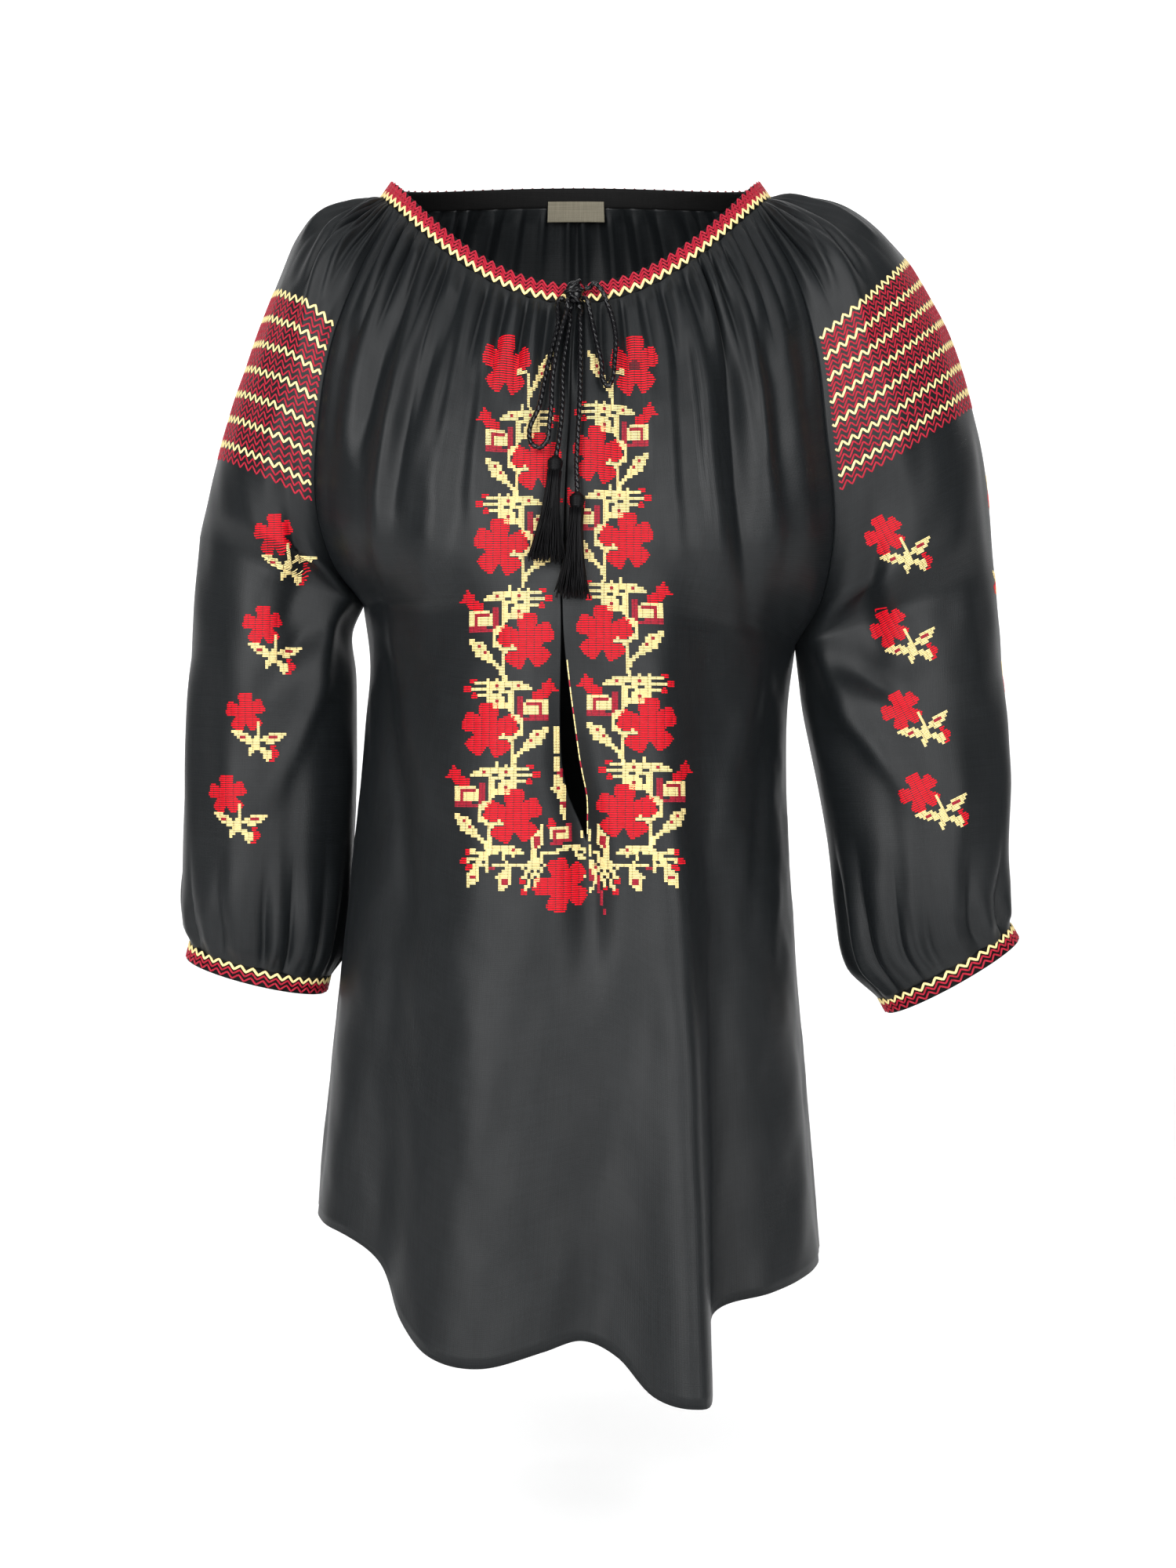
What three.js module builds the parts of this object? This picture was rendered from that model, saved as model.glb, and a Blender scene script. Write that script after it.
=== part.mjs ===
// A black gathered folk blouse with raglan sleeves, held open as on a general figure: front with a centre slit,
// back, two sleeves, neckband, two cuffs, a tied neck cord with two tassels, and a plain neck label.
// Millimetres. +Z is up, -Y is the front, +X is to the right as seen from the front, and "left" is -X.
// The origin lies between the shoulders, just above the level where they carry the sides of the neckband.
import * as THREE from "three";

// ---------- Driving dimensions ----------
const CLOTH = 1.2; // wall of every cloth panel
const SEAM_GAP = 0.5; // clear distance between two pieces that are sewn together
const NECK = {
  centreX: 1,
  halfWidth: 123.5,
  frontDepth: 95,
  backDepth: 80,
  sideZ: -8,
  frontDrop: 81.6,
  frontPower: 2.17,
  backRise: 14,
  seamFrontDeg: 66,
  seamBackDeg: 114,
  clothSideDrop: 1.7, // how much lower the cloth's top edge lies at the sides
  fitS: 0.25, // the rows above this are drawn to the neck edge
};
const NECKBAND = {
  height: 13,
  thickness: 3,
  endDeg: 0.6, // the band stops this far each side of centre front, where the tie leaves it
  stations: 50,
  leanSide: 0.75, // how far it leans in at the sides, and how much less at the front and back
  leanLessFront: 0.43,
  leanLessBack: 0.5,
};
const BODY_LENGTH = { raglan: 195, below: 435 }; // from the neckband to the underarm, and on to the hem
const SLEEVE_LENGTH = { raglan: 235, below: 235 };
const SLEEVE_WIDTH = 330; // the sleeve's cloth from seam to seam
const CUFF = { height: 11, thickness: 2.6, stations: 24 };
const CORD = { diameter: 3, sides: 8, step: 8 };
const KNOT = { x: 0.5, y: -99.9, z: -83.3, halfWidth: 6.5, halfDepth: 4.4, halfHeight: 8, wraps: 0.06, gap: 0.35 };
const TASSEL = { rings: 3, headRadius: 4.8, headLength: 11, rootShare: 0.86, strandShare: 0.8, uneven: 5 };
const LABEL = { width: 38, top: 4.4, bottom: -9.1, thickness: 0.8, behindBand: 0.6, spaces: 8 };

// ---------- Shape tables ----------
// v runs down a raglan seam from the neckband (0) to the underarm (1).
const SEAMS = {
  frontLeft: [
    { v: 0, x: -111, y: -39, z: -19 },
    { v: 0.2, x: -131, y: -63, z: -63 },
    { v: 0.4, x: -147, y: -72, z: -108 },
    { v: 0.6, x: -155, y: -73, z: -155 },
    { v: 0.8, x: -158, y: -58, z: -208 },
    { v: 0.9, x: -150, y: -34, z: -241 },
    { v: 1, x: -134, y: 0, z: -264 },
  ],
  frontRight: [
    { v: 0, x: 113, y: -39, z: -19 },
    { v: 0.2, x: 136, y: -62, z: -66 },
    { v: 0.4, x: 148, y: -71, z: -112 },
    { v: 0.6, x: 154, y: -71, z: -162 },
    { v: 0.8, x: 160, y: -58, z: -220 },
    { v: 0.9, x: 155, y: -34, z: -262 },
    { v: 1, x: 141, y: 0, z: -290 },
  ],
  backLeft: [
    { v: 0, x: -111, y: 33, z: -4 },
    { v: 0.2, x: -132, y: 60, z: -46 },
    { v: 0.4, x: -148, y: 72, z: -94 },
    { v: 0.6, x: -156, y: 73, z: -147 },
    { v: 0.8, x: -158, y: 57, z: -205 },
    { v: 0.9, x: -150, y: 33, z: -240 },
    { v: 1, x: -134, y: 0, z: -264 },
  ],
  backRight: [
    { v: 0, x: 113, y: 33, z: -4 },
    { v: 0.2, x: 136, y: 60, z: -48 },
    { v: 0.4, x: 149, y: 72, z: -98 },
    { v: 0.6, x: 156, y: 73, z: -154 },
    { v: 0.8, x: 160, y: 57, z: -216 },
    { v: 0.9, x: 155, y: 33, z: -260 },
    { v: 1, x: 141, y: 0, z: -290 },
  ],
};
// s runs down the body from the neckband (0) past the underarm (1) to the hem (2).
const FRONT_CENTRE = [
  { s: 0, x: 1, y: -95, z: -90 },
  { s: 0.2, x: -1, y: -107, z: -125 },
  { s: 0.4, x: -2, y: -118, z: -160 },
  { s: 0.6, x: -4, y: -126, z: -197 },
  { s: 0.8, x: -5, y: -131, z: -235 },
  { s: 1, x: -6.5, y: -133, z: -275 },
  { s: 1.2, x: -2, y: -131, z: -362 },
  { s: 1.32, x: 8, y: -128, z: -413 },
  { s: 1.5, x: 9, y: -126, z: -491 },
  { s: 1.8, x: 4, y: -128, z: -621 },
  { s: 2, x: 0, y: -131, z: -708 },
];
const BACK_CENTRE = [
  { s: 0, x: 1, y: 80, z: 6 },
  { s: 0.2, x: 1, y: 97, z: -32 },
  { s: 0.4, x: 1, y: 108, z: -76 },
  { s: 0.6, x: 1, y: 114, z: -125 },
  { s: 0.8, x: 1, y: 115, z: -180 },
  { s: 1, x: 1, y: 112, z: -238 },
  { s: 1.2, x: 1, y: 108, z: -335 },
  { s: 1.5, x: 0, y: 108, z: -480 },
  { s: 1.8, x: -1, y: 113, z: -625 },
  { s: 2, x: -2, y: 119, z: -722 },
];
// How far round the body a row's ends lie, and how fast its height falls from its ends to its middle. The ends
// stop short of 90 degrees near the underarm, where the cloth comes to a soft edge along the seam.
const ROW_ARC = [
  { s: 0, deg: 66, power: 1.42 },
  { s: 0.2, deg: 63, power: 1.3 },
  { s: 0.4, deg: 62, power: 1.2 },
  { s: 0.6, deg: 64, power: 1.1 },
  { s: 0.8, deg: 68, power: 1 },
  { s: 1, deg: 72, power: 1 },
  { s: 1.2, deg: 84, power: 1 },
  { s: 1.4, deg: 90, power: 1 },
  { s: 2, deg: 90, power: 1 },
];
// The side seams below the underarm (s 1) to the hem (s 2).
const SIDES = [
  { s: 1, left: -134, right: 141 },
  { s: 1.1, left: -129.5, right: 136 },
  { s: 1.2, left: -132.5, right: 135 },
  { s: 1.35, left: -137, right: 136.5 },
  { s: 1.5, left: -143, right: 140 },
  { s: 1.65, left: -149, right: 144.5 },
  { s: 1.8, left: -155, right: 149.5 },
  { s: 2, left: -162, right: 156 },
];
// Height of the hem all round; 0 degrees is centre front and 90 is the right side seam.
const HEM = [
  { deg: -180, z: -722 },
  { deg: -150, z: -712 },
  { deg: -118, z: -670 },
  { deg: -90, z: -645 },
  { deg: -62, z: -652 },
  { deg: -50, z: -668 },
  { deg: -40, z: -699 },
  { deg: -30, z: -718 },
  { deg: -19, z: -723 },
  { deg: -6, z: -713 },
  { deg: 2, z: -708 },
  { deg: 10, z: -717 },
  { deg: 16, z: -737 },
  { deg: 22, z: -742 },
  { deg: 28, z: -737 },
  { deg: 34, z: -703 },
  { deg: 50, z: -687 },
  { deg: 90, z: -672 },
  { deg: 120, z: -688 },
  { deg: 150, z: -715 },
  { deg: 180, z: -722 },
];
// Hanging folds of the body: a ridge (depth above 0) or trough that grows from s = from to the hem.
// deg is where it lies at the hem, leftDeg and rightDeg how wide its two flanks are.
const BODY_FOLDS = [
  { deg: -66, leftDeg: 9, rightDeg: 8, depth: 6, from: 1.15 },
  { deg: -49, leftDeg: 7, rightDeg: 7, depth: -9, from: 1.1 },
  { deg: -24, leftDeg: 14, rightDeg: 15, depth: 9, from: 0.95 },
  { deg: 3, leftDeg: 8, rightDeg: 8, depth: -8, from: 1.2 },
  { deg: 23.5, leftDeg: 8.5, rightDeg: 6, depth: 34, from: 0.9 },
  { deg: 37, leftDeg: 5, rightDeg: 9, depth: -15, from: 0.95 },
  { deg: 63, leftDeg: 11, rightDeg: 10, depth: 6, from: 1.1 },
  { deg: 112, leftDeg: 9, rightDeg: 10, depth: -8, from: 1.05 },
  { deg: 132, leftDeg: 10, rightDeg: 8, depth: 14, from: 0.95 },
  { deg: 153, leftDeg: 8, rightDeg: 9, depth: -9, from: 1.05 },
  { deg: 176, leftDeg: 10, rightDeg: 12, depth: 11, from: 0.9 },
  { deg: -158, leftDeg: 9, rightDeg: 9, depth: -8, from: 1.1 },
  { deg: -136, leftDeg: 9, rightDeg: 11, depth: 13, from: 0.95 },
  { deg: -113, leftDeg: 9, rightDeg: 9, depth: -8, from: 1.1 },
];
// The shoulder line, on the outside of each sleeve from the neckband to the underarm's level.
const SHOULDERS = {
  left: [
    { v: 0, x: -122.5, y: 0, z: -6 },
    { v: 0.1, x: -142, y: 1, z: -10 },
    { v: 0.2, x: -162, y: 2, z: -15 },
    { v: 0.3, x: -176, y: 3, z: -31 },
    { v: 0.4, x: -187, y: 3, z: -57 },
    { v: 0.6, x: -208, y: 4, z: -112 },
    { v: 0.8, x: -225, y: 4, z: -165 },
    { v: 1, x: -237, y: 2, z: -219 },
  ],
  right: [
    { v: 0, x: 124.5, y: 0, z: -6 },
    { v: 0.1, x: 148, y: 1, z: -8 },
    { v: 0.2, x: 173, y: 2, z: -13 },
    { v: 0.3, x: 197, y: 3, z: -29 },
    { v: 0.4, x: 217, y: 3, z: -53 },
    { v: 0.6, x: 242, y: 4, z: -102 },
    { v: 0.8, x: 259, y: 3, z: -164 },
    { v: 1, x: 267, y: 0, z: -242 },
  ],
};
// Half the front-to-back depth of a sleeve's rows above the underarm.
const SLEEVE_DEPTH = [
  { v: 0, half: 38 },
  { v: 0.2, half: 65 },
  { v: 0.4, half: 75 },
  { v: 0.6, half: 76 },
  { v: 0.8, half: 69 },
  { v: 1, half: 58 },
];
// Rings of each sleeve below the underarm (w 0) to the top of the cuff (w 1): the outer and inner point as
// seen from the front, half the depth, where the middle lies front to back, and how far the front tips down.
const SLEEVE_RINGS = {
  left: [
    { w: 0, outX: -237, outZ: -219, inX: -134, inZ: -264, half: 58, midY: 1, tipDeg: 0 },
    { w: 0.13, outX: -241, outZ: -258, inX: -142, inZ: -283, half: 57, midY: 5, tipDeg: 1 },
    { w: 0.28, outX: -244, outZ: -298, inX: -140, inZ: -308, half: 57, midY: 9, tipDeg: 2 },
    { w: 0.42, outX: -246.5, outZ: -338, inX: -140, inZ: -342, half: 56, midY: 13, tipDeg: 2 },
    { w: 0.56, outX: -249, outZ: -378, inX: -140.5, inZ: -380, half: 55, midY: 16, tipDeg: 3 },
    { w: 0.7, outX: -251, outZ: -418, inX: -143, inZ: -422, half: 53, midY: 18, tipDeg: 4 },
    { w: 0.83, outX: -252, outZ: -450, inX: -146.5, inZ: -460, half: 49, midY: 18, tipDeg: 5 },
    { w: 0.93, outX: -249, outZ: -469, inX: -151, inZ: -485, half: 42, midY: 17, tipDeg: 6 },
    { w: 1, outX: -245.5, outZ: -479, inX: -158, inZ: -501, half: 36, midY: 16, tipDeg: 6 },
  ],
  right: [
    { w: 0, outX: 267, outZ: -242, inX: 141, inZ: -290, half: 58, midY: 0, tipDeg: 0 },
    { w: 0.13, outX: 270, outZ: -273, inX: 143.5, inZ: -311, half: 57, midY: 1, tipDeg: 1 },
    { w: 0.28, outX: 273, outZ: -309, inX: 146, inZ: -331, half: 57, midY: 1, tipDeg: 1 },
    { w: 0.42, outX: 275.5, outZ: -343, inX: 151, inZ: -356, half: 56, midY: 0, tipDeg: 2 },
    { w: 0.56, outX: 277, outZ: -380, inX: 157, inZ: -386, half: 55, midY: -2, tipDeg: 2 },
    { w: 0.7, outX: 275.5, outZ: -417, inX: 163.5, inZ: -424, half: 53, midY: -4, tipDeg: 2 },
    { w: 0.83, outX: 274, outZ: -444, inX: 169.5, inZ: -461, half: 49, midY: -6, tipDeg: 3 },
    { w: 0.93, outX: 274.5, outZ: -458, inX: 177, inZ: -492, half: 42, midY: -8, tipDeg: 3 },
    { w: 1, outX: 275.5, outZ: -467, inX: 194, inZ: -513, half: 36, midY: -9, tipDeg: 3 },
  ],
};
// Soft creases: straight lines on a panel, from (across0, down0) to (across1, down1), in millimetres across
// from the panel's middle and down from the neckband, with a half width and a depth (above 0 is a ridge).
const CREASES = {
  front: [
    { across0: -112, down0: 12, across1: -148, down1: 130, half: 8, depth: -6 },
    { across0: -96, down0: 12, across1: -134, down1: 190, half: 9, depth: 6 },
    { across0: -80, down0: 16, across1: -118, down1: 150, half: 7, depth: -5 },
    { across0: -62, down0: 10, across1: -92, down1: 200, half: 11, depth: 4 },
    { across0: 74, down0: 14, across1: 96, down1: 190, half: 9, depth: 6 },
    { across0: 92, down0: 20, across1: 118, down1: 200, half: 8, depth: -8 },
    { across0: 108, down0: 12, across1: 138, down1: 170, half: 8, depth: 5 },
  ],
  back: [
    { across0: -100, down0: 14, across1: -136, down1: 180, half: 9, depth: 5 },
    { across0: -78, down0: 14, across1: -108, down1: 170, half: 9, depth: -5 },
    { across0: 76, down0: 16, across1: 104, down1: 190, half: 9, depth: -5 },
    { across0: 98, down0: 12, across1: 138, down1: 160, half: 9, depth: 5 },
  ],
  sleeve: [
    { across0: 96, down0: 14, across1: 128, down1: 120, half: 9, depth: 5 },
    { across0: 60, down0: 14, across1: 84, down1: 90, half: 9, depth: -4 },
    { across0: 140, down0: 150, across1: 96, down1: 300, half: 12, depth: -7 },
    { across0: 150, down0: 215, across1: 110, down1: 330, half: 9, depth: 6 },
    { across0: -96, down0: 14, across1: -126, down1: 130, half: 9, depth: 5 },
    { across0: -140, down0: 160, across1: -100, down1: 310, half: 12, depth: -6 },
    { across0: 20, down0: 300, across1: 36, down1: 430, half: 11, depth: 4 },
    { across0: -44, down0: 310, across1: -30, down1: 430, half: 11, depth: -4 },
  ],
};
// Where each stretch of the tied neck cord leaves the knot: degrees round it as seen from the front, from its
// right side upwards, and degrees forwards. A loop comes back to the knot, and a tail ends in a tassel.
const CORD_EXITS = {
  cord_loop_left: { start: { round: 205, forward: 0 }, end: { round: 235, forward: 45 } },
  cord_loop_right: { start: { round: 15, forward: 0 }, end: { round: 330, forward: 25 } },
  cord_tail_left: { start: { round: 257, forward: 0 } },
  cord_tail_right: { start: { round: 294, forward: 0 } },
};
// The rest of each stretch, given from the front by x and z, and by how far it stands off the cloth behind it.
const CORDS = {
  cord_loop_left: [
    { x: -9, z: -104, stand: 7 },
    { x: -13, z: -121, stand: 7 },
    { x: -16.5, z: -137, stand: 7 },
    { x: -20, z: -155, stand: 7 },
    { x: -25.5, z: -169, stand: 7 },
    { x: -24.5, z: -177.5, stand: 7.5 },
    { x: -19.5, z: -180.5, stand: 8.5 },
    { x: -15, z: -176, stand: 9.5 },
    { x: -13.8, z: -166, stand: 10.5 },
    { x: -12.6, z: -154, stand: 11.5 },
    { x: -12, z: -138, stand: 12 },
    { x: -9.5, z: -121, stand: 12.5 },
    { x: -6, z: -105, stand: 12 },
    { x: -3.4, z: -95, stand: 10 },
  ],
  cord_loop_right: [
    { x: 12.5, z: -78.5, stand: 6.5 },
    { x: 17.5, z: -83, stand: 6.5 },
    { x: 21, z: -91.5, stand: 6.5 },
    { x: 24.2, z: -102, stand: 6.5 },
    { x: 25.6, z: -113, stand: 7 },
    { x: 24.8, z: -126, stand: 7 },
    { x: 23.6, z: -137, stand: 7 },
    { x: 20.8, z: -142.5, stand: 7 },
    { x: 17.6, z: -138, stand: 7 },
    { x: 17, z: -129, stand: 7 },
    { x: 15, z: -119, stand: 7 },
    { x: 12.6, z: -108, stand: 7 },
    { x: 10.4, z: -97, stand: 7 },
  ],
  cord_tail_left: [
    { x: -1.9, z: -99.5, stand: 6.5 },
    { x: -2.4, z: -106, stand: 6.5 },
    { x: -3.6, z: -113.5, stand: 6.8 },
    { x: -4.8, z: -121, stand: 7 },
    { x: -5.7, z: -129, stand: 7 },
    { x: -6.2, z: -137, stand: 7 },
    { x: -6.1, z: -143.5, stand: 7 },
    { x: -6.1, z: -150, stand: 7 },
    { x: -6.5, z: -157.5, stand: 7.2 },
    { x: -7, z: -165, stand: 7.5 },
    { x: -7.7, z: -171, stand: 8 },
    { x: -8.4, z: -177, stand: 8.5 },
    { x: -9.6, z: -184.5, stand: 9 },
  ],
  cord_tail_right: [
    { x: 4.3, z: -100, stand: 6.9 },
    { x: 4.5, z: -108, stand: 7 },
    { x: 4.4, z: -116.5, stand: 7 },
    { x: 4.4, z: -125, stand: 7 },
    { x: 4.4, z: -133, stand: 7 },
    { x: 4.3, z: -141, stand: 7 },
    { x: 4.2, z: -149, stand: 7 },
    { x: 3.8, z: -157, stand: 7 },
    { x: 3.4, z: -165, stand: 7 },
    { x: 3, z: -173, stand: 7 },
    { x: 2.6, z: -181, stand: 7 },
    { x: 2.3, z: -189, stand: 7 },
    { x: 2.4, z: -197, stand: 7.1 },
    { x: 2.7, z: -206, stand: 7.5 },
  ],
};
// Each tassel from the top of its head to the ends of its strands, and how wide and deep the strands spread.
const TASSELS = {
  tassel_left: {
    head: { x: -9.9, z: -185.2, stand: 9 },
    end: { x: -15.5, z: -249, stand: 10 },
    spread: 8.5,
    depth: 5,
  },
  tassel_right: {
    head: { x: 2.9, z: -206.8, stand: 7.7 },
    end: { x: -0.5, z: -270, stand: 8.5 },
    spread: 9.5,
    depth: 5,
  },
};
// Half the width of the centre slit on its way down, and how far its edges turn inwards.
const SLIT = { endS: 1.32, topHalf: 0.45, openHalf: 6, widestS: 1.245, fromS: 1.0, curl: 13, curlWidth: 13 };
const GATHERS = { front: 24, back: 18, sleeveTop: 8, sleeveCuff: 14, edge: 0.7, peak: 2.4, fadeS: 0.42 };
const CUFF_GATHERS = { fromS: 1.62, fullS: 1.93 }; // where a sleeve's gathers into its cuff begin and are deepest

// Rows down the body and sleeves, and how many spaces each row is divided into.
const RAGLAN_ROWS = [0, 0.04, 0.09, 0.15, 0.23, 0.34, 0.48, 0.64, 0.8, 0.91, 1];
const BODY_ROWS = [1.1, 1.18, 1.245, 1.32, 1.42, 1.55, 1.7, 1.85, 2];
const SLEEVE_ROWS = [1.13, 1.28, 1.42, 1.56, 1.7, 1.83, 1.93, 2];

// ---------- Small helpers ----------
const V = THREE.Vector3;
const rad = THREE.MathUtils.degToRad;
const clamp = THREE.MathUtils.clamp;
const mix = THREE.MathUtils.lerp;
const rise = (x, a, b) => THREE.MathUtils.smoothstep(x, a, b);

// A smooth curve through a table's rows: its column `key` as a function of its column `at`.
function through(rows, at, key) {
  const x = rows.map((r) => r[at]);
  const y = rows.map((r) => r[key]);
  const last = x.length - 1;
  const slope = x.map((_, i) => {
    const a = Math.max(i - 1, 0);
    const b = Math.min(i + 1, last);
    return (y[b] - y[a]) / (x[b] - x[a]);
  });
  return (value) => {
    const c = clamp(value, x[0], x[last]);
    let i = 0;
    while (i < last - 1 && c > x[i + 1]) i += 1;
    const h = x[i + 1] - x[i];
    const k = (c - x[i]) / h;
    const k2 = k * k;
    const k3 = k2 * k;
    return (
      y[i] * (2 * k3 - 3 * k2 + 1) +
      y[i + 1] * (3 * k2 - 2 * k3) +
      h * (slope[i] * (k3 - 2 * k2 + k) + slope[i + 1] * (k3 - k2))
    );
  };
}

function throughPoints(rows, at) {
  const [x, y, z] = ["x", "y", "z"].map((key) => through(rows, at, key));
  return (t) => new V(x(t), y(t), z(t));
}

// ---------- Neck edge ----------
function neckRing(deg) {
  const a = rad(deg);
  const c = Math.cos(a);
  const depth = c > 0 ? NECK.frontDepth : NECK.backDepth;
  const lift = c > 0 ? -NECK.frontDrop * c ** NECK.frontPower : NECK.backRise * c * c;
  return new V(NECK.centreX + NECK.halfWidth * Math.sin(a), -depth * c, NECK.sideZ + lift);
}

// The direction from the neckband's lower edge to its upper edge: it leans in towards the neck.
function bandUp(deg) {
  const c = Math.cos(rad(deg));
  const less = c > 0 ? NECKBAND.leanLessFront : NECKBAND.leanLessBack;
  const lean = NECKBAND.leanSide - Math.abs(c) * less;
  return new V(-lean * Math.sin(rad(deg)), lean * c, 1).normalize();
}

// The top edge of the gathered cloth, just below the band, and lower at the sides where the cloth leaves it flat.
function neckEdge(deg) {
  const side = 1 - Math.abs(Math.cos(rad(deg)));
  return neckRing(deg).addScaledVector(bandUp(deg), -SEAM_GAP - NECK.clothSideDrop * side);
}

// Moves a row near the neck so that the top row lies exactly on the neck edge.
function fitToNeck(point, top, deg, s) {
  const fade = s >= NECK.fitS ? 0 : (1 - s / NECK.fitS) ** 2;
  return point.addScaledVector(neckEdge(deg).sub(top), fade);
}

// ---------- Body surface ----------
const seams = Object.fromEntries(Object.entries(SEAMS).map(([k, rows]) => [k, throughPoints(rows, "v")]));
const centres = { front: throughPoints(FRONT_CENTRE, "s"), back: throughPoints(BACK_CENTRE, "s") };
const arcDeg = through(ROW_ARC, "s", "deg");
const arcPower = through(ROW_ARC, "s", "power");
const sideX = { left: through(SIDES, "s", "left"), right: through(SIDES, "s", "right") };
const hemZ = through(HEM, "deg", "z");

// The share of the way from a row's end (0) to its middle (1), for a turn out of the end's turn.
const inwardShare = (turn, end) => (Math.cos(turn) - Math.cos(end)) / (1 - Math.cos(end));

// The height of the row at the underarm's level, at a share of the way from centre (0) to side seam (1).
function underarmZ(face, side, share) {
  const end = rad(arcDeg(1));
  return mix(seams[face + side](1).z, centres[face](1).z, inwardShare(share * end, end));
}

// A row of the body is an arc of an ellipse from seam to seam. u runs left to right as seen from outside.
function bodyRaw(face, u, s) {
  const front = face === "front";
  const across = (front ? 1 : -1) * (2 * u - 1); // -1 at the left seam, 1 at the right seam
  const side = across < 0 ? "Left" : "Right";
  const end = rad(arcDeg(s));
  const turn = across * end;
  const middle = centres[face](s);
  const inward = inwardShare(turn, end);
  const outward = Math.sin(Math.abs(turn)) / Math.sin(end);
  if (s <= 1) {
    const seam = seams[face + side](s);
    return new V(
      middle.x + outward * (seam.x - middle.x),
      mix(seam.y, middle.y, inward),
      mix(seam.z, middle.z, Math.max(inward, 0) ** arcPower(s)),
    );
  }
  const edge = sideX[side.toLowerCase()](s);
  const round = front ? across * 90 : Math.sign(across || 1) * 180 - across * 90;
  return new V(
    middle.x + outward * (edge - middle.x),
    middle.y * inward,
    mix(underarmZ(face, side, Math.abs(across)), hemZ(round), s - 1),
  );
}

function neckDegOf(face, u) {
  if (face === "front") return mix(-NECK.seamFrontDeg, NECK.seamFrontDeg, u);
  return mix(NECK.seamBackDeg, 360 - NECK.seamBackDeg, u);
}

function bodyBase(face, u, s) {
  return fitToNeck(bodyRaw(face, u, s), bodyRaw(face, u, 0), neckDegOf(face, u), s);
}

// ---------- Sleeve surface ----------
const shoulders = { left: throughPoints(SHOULDERS.left, "v"), right: throughPoints(SHOULDERS.right, "v") };
const sleeveHalf = through(SLEEVE_DEPTH, "v", "half");
const ringOf = Object.fromEntries(
  Object.entries(SLEEVE_RINGS).map(([side, rows]) => {
    const columns = Object.keys(rows[0]).filter((k) => k !== "w");
    const curves = columns.map((k) => [k, through(rows, "w", k)]);
    return [side, (w) => Object.fromEntries(curves.map(([k, f]) => [k, f(w)]))];
  }),
);
const signOf = { left: -1, right: 1 };
const seamEnds = { left: ["backLeft", "frontLeft"], right: ["frontRight", "backRight"] };

// A closed ring of a sleeve: middle, outward axis and front-to-back axis, each as long as the ring's half size.
function ringFrame(side, w) {
  const r = ringOf[side](w);
  const out = new V(r.outX, r.midY, r.outZ);
  const inn = new V(r.inX, r.midY, r.inZ);
  const middle = out.clone().add(inn).multiplyScalar(0.5);
  const tip = rad(r.tipDeg);
  const across = new V(0, Math.cos(tip), Math.sin(tip)).multiplyScalar(signOf[side] * r.half);
  return { middle, outward: out.sub(middle), across };
}

// The most that a sleeve's row turns each way from the shoulder line; below the underarm it closes into a ring.
const sleeveTurn = (s) => rad(mix(158, 180, rise(s, 1, 1.35)));

// A row of a sleeve is an arc of an ellipse over the shoulder, and a closed ring below the underarm.
function sleeveRaw(side, u, s) {
  const most = sleeveTurn(s);
  if (s > 1) {
    const { middle, outward, across } = ringFrame(side, s - 1);
    const reach = 2 / (1 - Math.cos(most));
    const turn = (2 * u - 1) * most;
    return middle
      .addScaledVector(outward, 1 - reach + reach * Math.cos(turn))
      .addScaledVector(across, Math.sin(turn) - (2 * u - 1) * Math.sin(most));
  }
  const [first, last] = seamEnds[side].map((name) => seams[name](s));
  const half = first.distanceTo(last) / 2;
  const across = s < 1 ? last.clone().sub(first).normalize() : new V(0, signOf[side], 0);
  const depth = Math.max(sleeveHalf(s), half * 1.001);
  const end = Math.min(Math.PI - Math.asin(half / depth), most);
  const slack = half - depth * Math.sin(end);
  const middle = first.add(last).multiplyScalar(0.5);
  const outward = shoulders[side](s).sub(middle);
  const reach = 1 / (1 - Math.cos(end));
  const turn = (2 * u - 1) * end;
  return middle
    .addScaledVector(outward, 1 - reach + reach * Math.cos(turn))
    .addScaledVector(across, depth * Math.sin(turn) + (2 * u - 1) * slack);
}

function sleeveBase(side, u, s) {
  const [a, b] = [NECK.seamFrontDeg, NECK.seamBackDeg];
  const deg = side === "right" ? mix(a, b, u) : mix(-b, -a, u);
  return fitToNeck(sleeveRaw(side, u, s), sleeveRaw(side, u, 0), deg, s);
}

// ---------- Gathers, folds and creases ----------
// Uneven spacing of the gathers, which keeps both ends and the middle in place.
function uneven(q) {
  const turn = 2 * Math.PI * q;
  return q + 0.01 * Math.sin(3 * turn) + 0.005 * Math.sin(7 * turn) + 0.002 * Math.sin(11 * turn);
}

const seamFade = (u) => rise(u, 0, 0.05) * rise(1 - u, 0, 0.05);

// Depth of the gathers below the neckband: small at the band, deepest just under it, gone at the bust.
function gatherDepth(s) {
  const grow = mix(GATHERS.edge, GATHERS.peak, rise(s, 0, 0.09));
  return grow * (1 - rise(s, 0.08, GATHERS.fadeS)) ** 1.2;
}

const gatherWave = (q, count) => Math.cos(2 * Math.PI * count * q) * (1 + 0.35 * Math.sin(17 * q + 1));

function creaseDepth(rows, across, down) {
  let total = 0;
  for (const c of rows) {
    const run = [c.across1 - c.across0, c.down1 - c.down0];
    const long = Math.hypot(...run);
    const from = [across - c.across0, down - c.down0];
    const along = (from[0] * run[0] + from[1] * run[1]) / long / long;
    const off = (from[0] * run[1] - from[1] * run[0]) / long / c.half;
    if (along > 0 && along < 1) total += c.depth * Math.sin(Math.PI * along) ** 0.8 * Math.exp(-off * off);
  }
  return total;
}

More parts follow.
